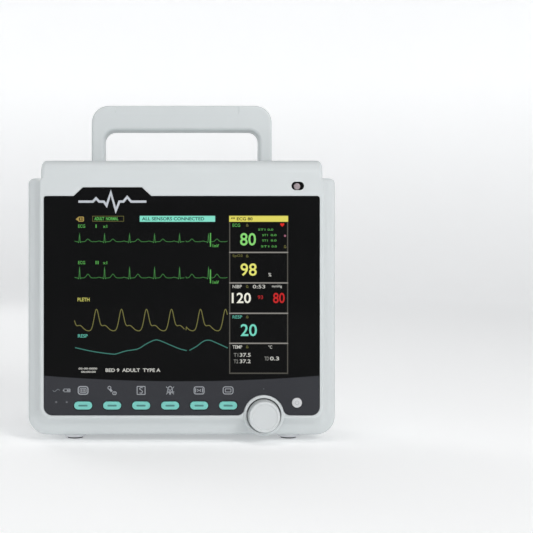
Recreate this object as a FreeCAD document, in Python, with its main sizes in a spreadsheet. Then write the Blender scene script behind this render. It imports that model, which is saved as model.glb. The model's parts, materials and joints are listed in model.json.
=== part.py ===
import FreeCAD, Part
import math
import os
from types import SimpleNamespace

import Sketcher

# Patient monitor. Millimetres, +Z up, +X to the right seen from the front, the front faces -Y.
# The origin is the middle of the base, on the surface that the feet stand on.

SIZES = {
    # outer form
    "body_width": 311, "body_floor": 6.5, "shoulder": 266, "low_corner": 19.5, "high_corner": 5,
    "face": -62, "seam": -38, "rear": 75, "wall": 3, "rim_thick": 2.4,
    "housing_width": 294, "hood_width": 282.4, "hood_top": 284, "hood_roll": 14,
    "lip_floor": 26, "lip_corner": 11.5, "border_straight": -44.7,
    # window panel
    "window_width": 275.8, "window_low": 28.3, "window_high": 247.5, "window_low_corner": 8.5,
    "window_high_corner": 2.5, "tab_left": -108.2, "tab_right": -30.5, "tab_rise": 8.7,
    "tab_slope": 9.4, "panel_thick": 2, "panel_set": 0.6, "plate_thick": 3,
    # display
    "screen_width": 211.2, "screen_low": 70.3, "screen_height": 158.4,
    # keys, power button and status lights
    "key_first": -98.65, "key_pitch": 29, "key_height": 38.1, "key_length": 18.1, "key_width": 8.1,
    "key_proud": 0.9, "key_gap": 0.7, "power_place": 115.2, "power_height": 40.9, "power_radius": 5,
    "light_first": -125.5, "light_pitch": 10.5, "light_height": 41.5, "light_radius": 1.1,
    "alarm_place": 116, "alarm_height": 257.7, "alarm_length": 12.7, "alarm_width": 8.5,
    # knob and encoder
    "knob_place": 82, "knob_height": 28.2, "knob_radius": 16.3, "knob_gap": 1.2,
    "knob_proud": 13, "knob_draft": 0.9, "collar_radius": 20.3, "collar_proud": 1.2, "shaft_radius": 3,
    "shaft_gap": 0.05,
    # handle
    "handle_half": 96, "handle_top": 347.5, "handle_open_half": 82, "handle_open_top": 320.5,
    "handle_front": 12, "handle_depth": 27, "handle_corner": 18, "handle_open_corner": 10.7,
    # feet
    "foot_place": 110, "foot_front": -22, "foot_back": 44, "foot_radius": 12, "pad_radius": 8,
    "pad_proud": 1.3, "pad_seat": 1.2,
    # rear bay and mount
    "bay_wall": 60, "bay_top": 58, "mount_pitch": 100, "mount_height": 160, "mount_radius": 2,
    # side sockets
    "side_panel_thick": 2, "socket_reach": 155.3,
}

DOC = FreeCAD.newDocument("patient_monitor")
SHEET = DOC.addObject("Spreadsheet::Sheet", "Sizes")
PARTS = []


class Dim:
    """A length: its value now, and the formula on the sheet that it comes from."""

    def __init__(self, value, text):
        self.value = value
        self.text = text

    def __add__(self, other):
        other = as_dim(other)
        return Dim(self.value + other.value, f"({self.text} + {other.text})")

    def __sub__(self, other):
        other = as_dim(other)
        return Dim(self.value - other.value, f"({self.text} - {other.text})")

    def __mul__(self, factor):
        return Dim(self.value * factor, f"({self.text} * {factor})")

    def __truediv__(self, factor):
        return Dim(self.value / factor, f"({self.text} / {factor})")

    def __neg__(self):
        return Dim(-self.value, f"(-1 * {self.text})")

    def __radd__(self, other):
        return as_dim(other) + self

    def __rsub__(self, other):
        return as_dim(other) - self


def as_dim(value):
    if isinstance(value, Dim):
        return value
    return Dim(float(value), f"{float(value):.6g}")


def fill_sheet():
    """Write every driving size to the sheet and return them by name."""
    sizes = {}
    for row, (alias, value) in enumerate(SIZES.items(), start=1):
        SHEET.set(f"A{row}", alias)
        SHEET.set(f"B{row}", str(value))
        SHEET.setAlias(f"B{row}", alias)
        sizes[alias] = Dim(float(value), f"Sizes.{alias}")
    DOC.recompute()
    return SimpleNamespace(**sizes)


S = fill_sheet()


# ---------------------------------------------------------------- building blocks

def bind(obj, prop, value):
    obj.setExpression(prop, as_dim(value).text)


def place(obj, x, y, z):
    bind(obj, "Placement.Base.x", x)
    bind(obj, "Placement.Base.y", y)
    bind(obj, "Placement.Base.z", z)


def box(name, xs, ys, zs):
    """A box between two values along each axis."""
    obj = DOC.addObject("Part::Box", name)
    bind(obj, "Length", as_dim(xs[1]) - xs[0])
    bind(obj, "Width", as_dim(ys[1]) - ys[0])
    bind(obj, "Height", as_dim(zs[1]) - zs[0])
    place(obj, xs[0], ys[0], zs[0])
    return obj


AXIS_TURN = {
    "x": FreeCAD.Rotation(FreeCAD.Vector(0, 1, 0), 90),
    "y": FreeCAD.Rotation(FreeCAD.Vector(1, 0, 0), -90),
    "z": FreeCAD.Rotation(),
}


def rod(name, radius, length, axis, start):
    """A cylinder that grows from start towards +axis."""
    obj = DOC.addObject("Part::Cylinder", name)
    bind(obj, "Radius", radius)
    bind(obj, "Height", length)
    obj.Placement = FreeCAD.Placement(FreeCAD.Vector(), AXIS_TURN[axis])
    place(obj, *start)
    return obj


def cone(name, low_radius, high_radius, length, axis, start):
    obj = DOC.addObject("Part::Cone", name)
    bind(obj, "Radius1", low_radius)
    bind(obj, "Radius2", high_radius)
    bind(obj, "Height", length)
    obj.Placement = FreeCAD.Placement(FreeCAD.Vector(), AXIS_TURN[axis])
    place(obj, *start)
    return obj


def fuse(name, *shapes):
    obj = DOC.addObject("Part::MultiFuse", name)
    obj.Shapes = list(shapes)
    obj.Refine = True
    return obj


def cut(name, base, *tools):
    obj = DOC.addObject("Part::Cut", name)
    obj.Base = base
    obj.Tool = tools[0] if len(tools) == 1 else fuse(name + "_tools", *tools)
    obj.Refine = True
    return obj


def group(name, *shapes):
    """Separate solids that share one sub-part, such as a set of screws."""
    obj = DOC.addObject("Part::Compound", name)
    obj.Links = list(shapes)
    return obj


def part(label, obj):
    """Name a sub-part: the label is its file's name."""
    obj.Label = label
    PARTS.append(obj)
    return obj


# ---------------------------------------------------------------- sketches and features

def new_body(name):
    return DOC.addObject("PartDesign::Body", name)


def sketch_on(body, name, plane, offset=0):
    """A sketch on one of the body's own planes, moved along the plane's normal."""
    sketch = body.newObject("Sketcher::SketchObject", name)
    support = [item for item in body.Origin.OriginFeatures if item.Role == plane]
    sketch.AttachmentSupport = [(support[0], "")]
    sketch.MapMode = "FlatFace"
    bind(sketch, "AttachmentOffset.Base.z", offset)
    return sketch


def front_sketch(body, name, depth):
    """A sketch in a plane parallel to the front face: its axes are X and Z."""
    return sketch_on(body, name, "XZ_Plane", -as_dim(depth))


def drive(sketch, constraint, value):
    """Add a constraint whose last value is bound to the sheet."""
    index = sketch.addConstraint(constraint)
    bind(sketch, f"Constraints[{index}]", value)


def fix_point(sketch, geometry, point, across, up):
    across = as_dim(across)
    up = as_dim(up)
    drive(sketch, Sketcher.Constraint("DistanceX", geometry, point, across.value), across)
    drive(sketch, Sketcher.Constraint("DistanceY", geometry, point, up.value), up)


def add_polygon(sketch, points):
    """A closed run of straight lines through points given as (across, up)."""
    points = [(as_dim(across), as_dim(up)) for across, up in points]
    first = sketch.GeometryCount
    for number, (across, up) in enumerate(points):
        after = points[(number + 1) % len(points)]
        start = FreeCAD.Vector(across.value, up.value, 0)
        end = FreeCAD.Vector(after[0].value, after[1].value, 0)
        sketch.addGeometry(Part.LineSegment(start, end))
    for number, (across, up) in enumerate(points):
        follower = first + (number + 1) % len(points)
        sketch.addConstraint(Sketcher.Constraint("Coincident", first + number, 2, follower, 1))
        fix_point(sketch, first + number, 1, across, up)


def add_circle(sketch, across, up, radius):
    across = as_dim(across)
    up = as_dim(up)
    radius = as_dim(radius)
    centre = FreeCAD.Vector(across.value, up.value, 0)
    circle = Part.Circle(centre, FreeCAD.Vector(0, 0, 1), radius.value)
    index = sketch.addGeometry(circle)
    fix_point(sketch, index, 3, across, up)
    drive(sketch, Sketcher.Constraint("Radius", index, radius.value), radius)


def add_rounded_rect(sketch, left, right, low, high, low_corner, high_corner):
    """A rectangle whose two lower and two upper corners are rounded."""
    left, right, low, high = as_dim(left), as_dim(right), as_dim(low), as_dim(high)
    low_corner, high_corner = as_dim(low_corner), as_dim(high_corner)
    corners = [
        (right - low_corner, low + low_corner, low_corner, -90),
        (right - high_corner, high - high_corner, high_corner, 0),
        (left + high_corner, high - high_corner, high_corner, 90),
        (left + low_corner, low + low_corner, low_corner, 180),
    ]
    first = sketch.GeometryCount
    arcs = []
    for across, up, radius, angle in corners:
        circle = Part.Circle(FreeCAD.Vector(across.value, up.value, 0),
                             FreeCAD.Vector(0, 0, 1), radius.value)
        arc = Part.ArcOfCircle(circle, math.radians(angle), math.radians(angle + 90))
        arcs.append(arc)
    for number, arc in enumerate(arcs):
        before = arcs[number - 1]
        sketch.addGeometry(Part.LineSegment(before.EndPoint, arc.StartPoint))
        sketch.addGeometry(arc)
    for number in range(8):
        here = first + number
        after = first + (number + 1) % 8
        sketch.addConstraint(Sketcher.Constraint("Tangent", here, 2, after, 1))
    for number, direction in enumerate(["Horizontal", "Vertical", "Horizontal", "Vertical"]):
        sketch.addConstraint(Sketcher.Constraint(direction, first + 2 * number))
    for number, (across, up, radius, angle) in enumerate(corners):
        index = first + 2 * number + 1
        drive(sketch, Sketcher.Constraint("Radius", index, radius.value), radius)
    drive(sketch, Sketcher.Constraint("DistanceY", first, 1, low.value), low)
    drive(sketch, Sketcher.Constraint("DistanceX", first + 2, 1, right.value), right)
    drive(sketch, Sketcher.Constraint("DistanceY", first + 4, 1, high.value), high)
    drive(sketch, Sketcher.Constraint("DistanceX", first + 6, 1, left.value), left)


def add_slot(sketch, across, up, length, width):
    """A slot with round ends, lying along the sketch's first axis."""
    across, up = as_dim(across), as_dim(up)
    half = (as_dim(length) - width) / 2
    radius = as_dim(width) / 2
    first = sketch.GeometryCount
    ends = []
    for sign in (-1, 1):
        centre = FreeCAD.Vector(across.value + sign * half.value, up.value, 0)
        circle = Part.Circle(centre, FreeCAD.Vector(0, 0, 1), radius.value)
        start = math.pi / 2 if sign < 0 else -math.pi / 2
        ends.append(Part.ArcOfCircle(circle, start, start + math.pi))
    sketch.addGeometry(ends[0])
    sketch.addGeometry(Part.LineSegment(ends[0].EndPoint, ends[1].StartPoint))
    sketch.addGeometry(ends[1])
    sketch.addGeometry(Part.LineSegment(ends[1].EndPoint, ends[0].StartPoint))
    for number in range(4):
        here = first + number
        after = first + (number + 1) % 4
        sketch.addConstraint(Sketcher.Constraint("Tangent", here, 2, after, 1))
    drive(sketch, Sketcher.Constraint("Radius", first, radius.value), radius)
    fix_point(sketch, first, 3, across - half, up)
    fix_point(sketch, first + 2, 3, across + half, up)


def pad(body, sketch, length, back=False, both_ways=False):
    """Grow a sketch along its plane's normal, backwards, or half each way."""
    feature = body.newObject("PartDesign::Pad", sketch.Name + "_pad")
    feature.Profile = sketch
    bind(feature, "Length", length)
    feature.Reversed = back
    feature.Midplane = both_ways
    return feature


def pocket(body, sketch, length, back=False):
    """Cut a sketch out of the body and make sure that it removes something."""
    DOC.recompute()
    before = body.Tip.Shape.Volume
    feature = body.newObject("PartDesign::Pocket", sketch.Name + "_pocket")
    feature.Profile = sketch
    bind(feature, "Length", length)
    feature.Reversed = back
    DOC.recompute()
    if not feature.Shape.Volume < before:
        raise ValueError(sketch.Name + " cuts nothing")
    return feature


def loft(body, name, sketches, ruled=False, kind="PartDesign::AdditiveLoft"):
    feature = body.newObject(kind, name)
    feature.Profile = sketches[0]
    feature.Sections = sketches[1:]
    feature.Ruled = ruled
    return feature


def lies_at(edge, x=None, y=None, z=None):
    """True where an edge lies in every plane given."""
    limits = edge.BoundBox
    spans = ((x, limits.XMin, limits.XMax), (y, limits.YMin, limits.YMax), (z, limits.ZMin, limits.ZMax))
    for wanted, low, high in spans:
        if wanted is None:
            continue
        wanted = as_dim(wanted).value
        if abs(low - wanted) > 0.05 or abs(high - wanted) > 0.05:
            return False
    return True


def round_edges(body, radius, chosen, kind="PartDesign::Fillet"):
    """Fillet or chamfer every edge of the body that the test picks."""
    DOC.recompute()
    base = body.Tip
    names = [f"Edge{number}" for number, edge in enumerate(base.Shape.Edges, start=1) if chosen(edge)]
    if not names:
        raise ValueError("no edge to round on " + body.Name)
    feature = body.newObject(kind, body.Name + "_round")
    feature.Base = (base, names)
    bind(feature, "Radius" if kind.endswith("Fillet") else "Size", radius)
    DOC.recompute()
    return feature


# ---------------------------------------------------------------- window panel

PANEL_FRONT = S.face + S.panel_set
PANEL_BACK = PANEL_FRONT + S.panel_thick
PLATE_BACK = PANEL_BACK + S.plate_thick


def window_plate(name, front, back, grow):
    """The window's outline as a plate: a rectangle with a tab above and a bite round the collar."""
    body = new_body(name)
    half = S.window_width / 2 + grow
    outline = front_sketch(body, name + "_outline", front)
    add_rounded_rect(outline, -half, half, S.window_low - grow, S.window_high + grow,
                     S.window_low_corner + grow, S.window_high_corner + grow)
    pad(body, outline, as_dim(back) - front, back=True)
    tab = front_sketch(body, name + "_tab", front)
    top = S.window_high + S.tab_rise + grow
    base = S.window_high - S.tab_rise
    lean = grow * 0.4
    add_polygon(tab, [
        (S.tab_left - lean, base), (S.tab_right + lean, base),
        (S.tab_right + lean, S.window_high + grow), (S.tab_right - S.tab_slope + lean, top),
        (S.tab_left + S.tab_slope - lean, top), (S.tab_left - lean, S.window_high + grow),
    ])
    pad(body, tab, as_dim(back) - front, back=True)
    bite = front_sketch(body, name + "_bite", front)
    bite_radius = S.collar_radius + 0.25 - grow
    add_circle(bite, S.knob_place, S.knob_height, bite_radius)
    pocket(body, bite, as_dim(back) - front)
    reach = math.sqrt(bite_radius.value ** 2 - (S.knob_height.value - S.window_low.value + grow) ** 2)

    def at_bite(edge):
        low = S.window_low - grow
        left = S.knob_place.value - reach
        right = S.knob_place.value + reach
        return lies_at(edge, x=left, z=low) or lies_at(edge, x=right, z=low)

    round_edges(body, 7, at_bite)
    return body


KEY_PLACES = [S.key_first + S.key_pitch * number for number in range(6)]
LIGHT_PLACES = [S.light_first + S.light_pitch * number for number in range(2)]


def window_panel():
    """Black acrylic sheet with holes for the keys, the power button and the status lights."""
    body = window_plate("window_sheet", PANEL_FRONT, PANEL_BACK, 0)
    holes = front_sketch(body, "panel_holes", PANEL_FRONT)
    for across in KEY_PLACES:
        add_slot(holes, across, S.key_height, S.key_length + S.key_gap * 2,
                 S.key_width + S.key_gap * 2)
    add_circle(holes, S.power_place, S.power_height, S.power_radius + S.key_gap / 2)
    for across in LIGHT_PLACES:
        add_circle(holes, across, S.light_height, S.light_radius)
    pocket(body, holes, S.panel_thick)
    return part("window_panel", body)


# ---------------------------------------------------------------- front bezel

# Each step of the border: its share of the width and of the depth, from the lip outwards.
BORDER_STEPS = [(0, 0), (0.06, 0.04), (0.14, 0.13), (0.24, 0.28), (0.36, 0.43), (0.5, 0.54),
                (0.66, 0.62), (0.82, 0.69), (0.93, 0.79), (1, 1)]


def border_outline(body, number, width_share, depth_share):
    low = S.lip_floor - (S.lip_floor - S.body_floor) * width_share
    half = S.hood_width / 2 + (S.body_width - S.hood_width) / 2 * width_share
    depth = S.face + (S.border_straight - S.face) * depth_share
    corner = S.lip_corner + (S.low_corner - S.lip_corner) * width_share
    outline = front_sketch(body, f"border_{number}", depth)
    add_rounded_rect(outline, -half, half, low, S.shoulder, corner, S.high_corner)
    return outline


def bezel_blank():
    """The solid outside form: a hollow-curved border round the lip, and the hood across the top."""
    body = new_body("border_body")
    outlines = []
    for number, (width_share, depth_share) in enumerate(BORDER_STEPS):
        outlines.append(border_outline(body, number, width_share, depth_share))
    loft(body, "border", outlines, ruled=True)
    skirt = front_sketch(body, "skirt", S.border_straight)
    half = S.body_width / 2
    add_rounded_rect(skirt, -half, half, S.body_floor, S.shoulder, S.low_corner, S.high_corner)
    pad(body, skirt, S.seam - S.border_straight, back=True)
    top = new_body("hood_body")
    hood_block(top, "hood", S.face, S.seam, 0)
    round_edges(top, S.hood_roll, lambda edge: lies_at(edge, y=S.face, z=S.hood_top))
    half = S.hood_width / 2
    round_edges(top, 5, lambda edge: lies_at(edge, x=half, z=S.hood_top)
                or lies_at(edge, x=-half, z=S.hood_top))
    return fuse("bezel_blank", body, top)


def hood_block(body, name, front, back, inset):
    """The square-edged form of the hood, moved inwards by inset."""
    side = sketch_on(body, name, "YZ_Plane")
    low = S.shoulder - 40 + inset
    top = S.hood_top - inset
    add_polygon(side, [(front, low), (back, low), (back, top), (front, top)])
    pad(body, side, S.hood_width - inset * 2, both_ways=True)


def bezel_cavity():
    """The space behind the front plate, wider up to the rim at the seam, and the hood's inside."""
    body = new_body("bezel_cavity")
    narrow = front_sketch(body, "cavity_narrow", PLATE_BACK)
    half = S.window_width / 2 + 0.5
    add_rounded_rect(narrow, -half, half, S.lip_floor - 2, S.shoulder - 4, 9, 3)
    wide_at = S.border_straight - 2.3
    wide = front_sketch(body, "cavity_wide", wide_at)
    half = S.body_width / 2 - S.wall - 0.5
    low = S.body_floor + S.wall + 0.5
    add_rounded_rect(wide, -half, half, low, S.shoulder - S.wall, 16, 3)
    loft(body, "cavity_taper", [narrow, wide], ruled=True)
    straight = front_sketch(body, "cavity_straight", wide_at)
    add_rounded_rect(straight, -half, half, low, S.shoulder - S.wall, 16, 3)
    pad(body, straight, S.seam - S.rim_thick - wide_at, back=True)
    rim = front_sketch(body, "cavity_rim", S.seam - S.rim_thick)
    half = S.housing_width / 2 - S.wall
    add_rounded_rect(rim, -half, half, S.body_floor + S.wall, S.shoulder - S.wall, 12, 3)
    pad(body, rim, S.rim_thick + 1, back=True)
    hood_block(body, "cavity_hood", PLATE_BACK, S.seam + 1, S.wall.value)
    round_edges(body, S.hood_roll - 6,
                lambda edge: lies_at(edge, y=PLATE_BACK, z=S.hood_top - S.wall))
    return body


def slot_cutter(name, places, height, length, width, front, back):
    """A row of round-ended cutters that run from front to back."""
    body = new_body(name)
    outline = front_sketch(body, name + "_outline", front)
    for across in places:
        add_slot(outline, across, height, length, width)
    pad(body, outline, as_dim(back) - front, back=True)
    return body


COLLAR_FRONT = S.face - S.collar_proud
COLLAR_FLOOR = PANEL_BACK + 0.4
COLLAR_BACK = COLLAR_FLOOR + 5
CORNER_BOSSES = [(side * 133, height) for side in (-1, 1) for height in (34, 240)]
SHANK_END = -49


def front_bezel():
    """White moulded front with the hood, the knob's collar and four screw bosses."""
    hollow = cut("bezel_shell", bezel_blank(), bezel_cavity())
    knob_axis = (S.knob_place, S.knob_height)
    collar_body = new_body("collar_body")
    ring = front_sketch(collar_body, "collar_ring", COLLAR_FRONT)
    add_circle(ring, *knob_axis, S.collar_radius)
    pad(collar_body, ring, COLLAR_BACK - COLLAR_FRONT, back=True)
    round_edges(collar_body, 1.4, lambda edge: lies_at(edge, y=COLLAR_FRONT))
    bosses = []
    for number, (across, height) in enumerate(CORNER_BOSSES):
        bosses.append(rod(f"boss_{number}", 5, S.seam - PLATE_BACK + 0.5, "y",
                          (across, PLATE_BACK - 0.5, height)))
    skirt_front = COLLAR_BACK - 0.5
    skirt_length = S.border_straight - 1.3 - skirt_front
    skirt = cut("collar_skirt",
                rod("skirt_outside", S.collar_radius, skirt_length, "y",
                    (S.knob_place, skirt_front, S.knob_height)),
                rod("skirt_inside", S.collar_radius - 2.8, skirt_length, "y",
                    (S.knob_place, skirt_front + 0.5, S.knob_height)))
    whole = fuse("bezel_whole", hollow, collar_body, skirt, *bosses)
    past = S.face - 5
    screen_half = S.screen_width / 2 + 2
    tools = [
        window_plate("window_recess", S.face - 0.5, PANEL_BACK, 0.25),
        box("screen_opening", (-screen_half, screen_half), (past, PLATE_BACK + 1),
            (S.screen_low - 2, S.screen_low + S.screen_height + 2)),
        slot_cutter("key_openings", KEY_PLACES, S.key_height, S.key_length + 4.6,
                    S.key_width + 4.6, PANEL_BACK - 1, PLATE_BACK + 1),
        rod("power_opening", S.power_radius + 1.9, S.plate_thick + 2, "y",
            (S.power_place, PANEL_BACK - 1, S.power_height)),
        slot_cutter("alarm_opening", [S.alarm_place], S.alarm_height, S.alarm_length,
                    S.alarm_width, past, PLATE_BACK + 1),
        rod("collar_bore", S.knob_radius + S.knob_gap, COLLAR_FLOOR - past, "y",
            (S.knob_place, past, S.knob_height)),
        rod("bush_hole", 3.5, 20, "y", (S.knob_place, COLLAR_FLOOR - 1, S.knob_height)),
    ]
    for number, across in enumerate(LIGHT_PLACES):
        tools.append(rod(f"light_hole_{number}", S.light_radius, S.plate_thick + 4, "y",
                         (across, PANEL_BACK - 1, S.light_height)))
    for number, (across, height) in enumerate(CORNER_BOSSES):
        tools.append(rod(f"thread_{number}", 1.5, 12, "y", (across, SHANK_END - 0.5, height)))
    return part("front_bezel", cut("front_bezel", whole, *tools))


# ---------------------------------------------------------------- lights, keys and power button

def alarm_light():
    """Dark oval window in the hood, with a round lens standing in it, and its board behind."""
    seat = slot_cutter("alarm_seat", [S.alarm_place], S.alarm_height, S.alarm_length,
                       S.alarm_width, S.face + 1.6, S.face + 3.6)
    part("alarm_window", seat)
    lens = new_body("alarm_lens_body")
    outline = front_sketch(lens, "alarm_lens_outline", S.face - 0.2)
    add_circle(outline, S.alarm_place - 0.7, S.alarm_height - 0.5, 3.3)
    pad(lens, outline, 1.8, back=True)
    round_edges(lens, 1.2, lambda edge: lies_at(edge, y=S.face - 0.2))
    part("alarm_lens", lens)
    board = box("alarm_sheet", (S.alarm_place - 14, S.alarm_place + 14),
                (PLATE_BACK + 1.5, PLATE_BACK + 3), (S.alarm_height - 7, S.alarm_height + 7))
    lamp = rod("alarm_lamp", 2.5, PLATE_BACK + 1.5 - (S.face + 3.6), "y",
               (S.alarm_place, S.face + 3.6, S.alarm_height))
    part("alarm_board", fuse("alarm_board_whole", board, lamp))


def keys():
    """Six oval keys. Each has a flange behind the panel that keeps it in."""
    cap_front = PANEL_FRONT - S.key_proud
    for number, across in enumerate(KEY_PLACES, start=1):
        body = new_body(f"key_body_{number}")
        cap = front_sketch(body, f"key_cap_{number}", cap_front)
        add_slot(cap, across, S.key_height, S.key_length, S.key_width)
        pad(body, cap, PANEL_BACK + 3.9 - cap_front, back=True)
        round_edges(body, 0.8, lambda edge: lies_at(edge, y=cap_front))
        flange = front_sketch(body, f"key_flange_{number}", PANEL_BACK + 0.3)
        add_slot(flange, across, S.key_height, S.key_length + 3.4, S.key_width + 3.4)
        pad(body, flange, 1.2, back=True)
        part(f"key_{number}", body)


KEY_PAD_FRONT = PANEL_BACK + 5.5
KEY_PAD_BACK = KEY_PAD_FRONT + 2.2


def key_pad_and_board():
    """Silicone pad with a dome behind each key, on the key board."""
    left = S.light_first - 2
    right = S.key_first + S.key_pitch * 5 + 11
    low = S.key_height - 8
    high = S.key_height + 11
    sheet = box("pad_sheet", (left, right), (KEY_PAD_FRONT + 1, KEY_PAD_BACK), (low, high))
    domes = slot_cutter("pad_domes", KEY_PLACES, S.key_height, 13, 5.4, KEY_PAD_FRONT, KEY_PAD_BACK)
    part("key_pad", fuse("key_pad_whole", sheet, domes))
    board = box("key_board_sheet", (left, right), (KEY_PAD_BACK, KEY_PAD_BACK + 1.6), (low, high))
    part("key_board", board)


def status_lights():
    """Two clear light pipes, flush with the panel."""
    pipes = []
    for number, across in enumerate(LIGHT_PLACES):
        pipes.append(rod(f"light_pipe_{number}", S.light_radius, KEY_PAD_FRONT + 1 - PANEL_FRONT,
                         "y", (across, PANEL_FRONT, S.light_height)))
    part("status_lights", group("status_lights", *pipes))


def power_button():
    """Round white button with a flange behind the panel, and the switch that it presses."""
    body = new_body("power_button_body")
    cap_front = PANEL_FRONT - S.key_proud
    cap = front_sketch(body, "power_cap", cap_front)
    add_circle(cap, S.power_place, S.power_height, S.power_radius)
    pad(body, cap, PANEL_BACK + 3.9 - cap_front, back=True)
    round_edges(body, 0.8, lambda edge: lies_at(edge, y=cap_front))
    flange = front_sketch(body, "power_flange", PANEL_BACK + 0.3)
    add_circle(flange, S.power_place, S.power_height, S.power_radius + 1.2)
    pad(body, flange, 1.2, back=True)
    part("power_button", body)
    stem = rod("switch_stem", 1.6, 1.5, "y", (S.power_place, KEY_PAD_FRONT, S.power_height))
    case = box("switch_case", (S.power_place - 5, S.power_place + 5),
               (KEY_PAD_FRONT + 1.4, KEY_PAD_FRONT + 7), (S.power_height - 5, S.power_height + 5))
    part("power_switch", fuse("power_switch_whole", stem, case))


# ---------------------------------------------------------------- knob and encoder

KNOB_FRONT = S.face - S.knob_proud
KNOB_BACK = COLLAR_FLOOR - 1.6
ENCODER_BACK = COLLAR_BACK + 8
PLUNGER_FRONT = COLLAR_BACK + 4


def knob():
    """Round knob with draft, a shallow dished face, flutes near its foot and a hollow back."""
    body = new_body("knob_body")
    place(body, S.knob_place, 0, S.knob_height)
    half_section = sketch_on(body, "knob_section", "XY_Plane")
    front_radius = S.knob_radius - S.knob_draft
    rim = front_radius - 2.4
    add_polygon(half_section, [
        (0, KNOB_FRONT + 0.7), (rim - 0.7, KNOB_FRONT + 0.7), (rim, KNOB_FRONT),
        (front_radius, KNOB_FRONT), (S.knob_radius, KNOB_BACK), (S.knob_radius - 3, KNOB_BACK),
        (S.knob_radius - 3, KNOB_BACK - 5), (S.shaft_radius + 3, KNOB_BACK - 5),
        (S.shaft_radius + 3, KNOB_BACK - 3), (S.shaft_radius, KNOB_BACK - 3),
        (S.shaft_radius, KNOB_FRONT + 3), (0, KNOB_FRONT + 3),
    ])
    turn = body.newObject("PartDesign::Revolution", "knob_turn")
    turn.Profile = half_section
    turn.ReferenceAxis = (half_section, ["V_Axis"])
    turn.Angle = 360
    round_edges(body, 1.5, lambda edge: lies_at(edge, y=KNOB_FRONT) and edge.Length > 90)
    flute = front_sketch(body, "knob_flute", KNOB_FRONT - 1)
    add_circle(flute, S.knob_radius + 0.5, 0, 1)
    groove = pocket(body, flute, KNOB_BACK - KNOB_FRONT - 2.5)
    ring = body.newObject("PartDesign::PolarPattern", "knob_flutes")
    ring.Originals = [groove]
    ring.Axis = (half_section, ["V_Axis"])
    ring.Angle = 360
    ring.Occurrences = 36
    body.Tip = ring
    part("knob", body)


def encoder():
    """Encoder body with a threaded bush through the collar's floor, its shaft and its plunger."""
    axis = (S.knob_place, S.knob_height)
    case = box("encoder_case", (axis[0] - 6.5, axis[0] + 6.5), (COLLAR_BACK, ENCODER_BACK),
               (axis[1] - 6.5, axis[1] + 6.5))
    bush = rod("encoder_bush", 3.5, COLLAR_BACK - COLLAR_FLOOR + 1, "y",
               (axis[0], COLLAR_FLOOR, axis[1]))
    bore = rod("encoder_bore", S.shaft_radius + S.shaft_gap, ENCODER_BACK - COLLAR_FLOOR, "y",
               (axis[0], COLLAR_FLOOR - 1, axis[1]))
    part("encoder_housing", cut("encoder_housing_whole", fuse("encoder_solid", case, bush), bore))
    shaft_front = KNOB_FRONT + 3
    part("encoder_shaft", rod("encoder_rod", S.shaft_radius, PLUNGER_FRONT - 0.3 - shaft_front, "y",
                              (axis[0], shaft_front, axis[1])))
    part("encoder_plunger", rod("encoder_pin", S.shaft_radius, 1.8, "y",
                                (axis[0], PLUNGER_FRONT, axis[1])))


# ---------------------------------------------------------------- display

def display():
    """Display glass in its metal tray, behind the window panel."""
    half = S.screen_width / 2 + 6
    low = S.screen_low - 5
    high = S.screen_low + S.screen_height + 5
    glass_front = PLATE_BACK + 0.2
    glass = box("display_sheet", (-half, half), (glass_front, glass_front + 1.8), (low, high))
    part("display_glass", glass)
    tray = box("tray_outside", (-half - 2, half + 2), (glass_front + 0.2, glass_front + 8),
               (low - 2, high + 2))
    seat = box("tray_seat", (-half, half), (glass_front - 1, glass_front + 1.8), (low, high))
    part("display_tray", cut("display_tray_whole", tray, seat))


# ---------------------------------------------------------------- rear housing

def housing_form(name, inset):
    """The housing's outline moved inwards by inset, open towards the bezel."""
    body = new_body(name)
    front = S.seam if inset == 0 else S.seam - 1
    half = S.housing_width / 2 - inset
    low = S.body_floor + inset
    side = sketch_on(body, name + "_side", "YZ_Plane")
    add_polygon(side, [
        (front, low), (S.bay_wall - inset, low), (S.bay_wall - inset, S.bay_top + inset),
        (S.rear - inset, S.bay_top + inset), (S.rear - inset, S.shoulder - inset),
        (front, S.shoulder - inset),
    ])
    pad(body, side, half * 2, both_ways=True)
    top = sketch_on(body, name + "_top", "YZ_Plane")
    roof = S.hood_top - inset
    back_edge = S.rear - 13 - inset
    add_polygon(top, [
        (front, S.shoulder - 30), (back_edge, S.shoulder - 30), (back_edge, roof - 12),
        (back_edge - 12, roof), (front, roof),
    ])
    pad(body, top, S.hood_width - inset * 2, both_ways=True)
    for sign in (-1, 1):
        round_edges(body, 15 - inset, lambda edge: lies_at(edge, x=half * sign, z=low))
        round_edges(body, 10 - inset, lambda edge: lies_at(edge, x=half * sign, y=S.rear - inset))
    half_roof = S.hood_width / 2 - inset
    round_edges(body, 6 - inset, lambda edge: lies_at(edge, x=half_roof, z=roof)
                or lies_at(edge, x=-half_roof, z=roof))
    return body


SIDE_FACE = S.housing_width / 2
PANEL_FACE = SIDE_FACE + S.side_panel_thick
# Side sockets: name, distance behind the origin, height, collar radius, bore radius.
SIDE_SOCKETS = [
    ("ecg_socket", 28, 205, 11.5, 8), ("gas_module_socket", 28, 172, 9.5, 6.3),
    ("cuff_air_port", -4, 172, 8, 3.6), ("temperature_jack_1", -4, 144, 6.2, 3.3),
    ("temperature_jack_2", 28, 144, 6.2, 3.3),
]
OXYGEN = SimpleNamespace(depth=-4, height=205, length=24, width=13, hole_length=18, hole_width=7.4)
MOUNTS = [(S.mount_pitch / 2 * across, S.mount_height + S.mount_pitch / 2 * up)
          for across in (-1, 1) for up in (-1, 1)]
HANDLE_BOLTS = [(89 * side, S.handle_front + depth) for side in (-1, 1) for depth in (7, 20)]
INLET = SimpleNamespace(x=-98, z=32, half_x=14, half_z=10)
NETWORK = SimpleNamespace(x=70, z=30, half_x=8, half_z=7)
EARTH = SimpleNamespace(x=-30, z=32)
FUSES = [(-68, 40), (-68, 24)]
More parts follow.
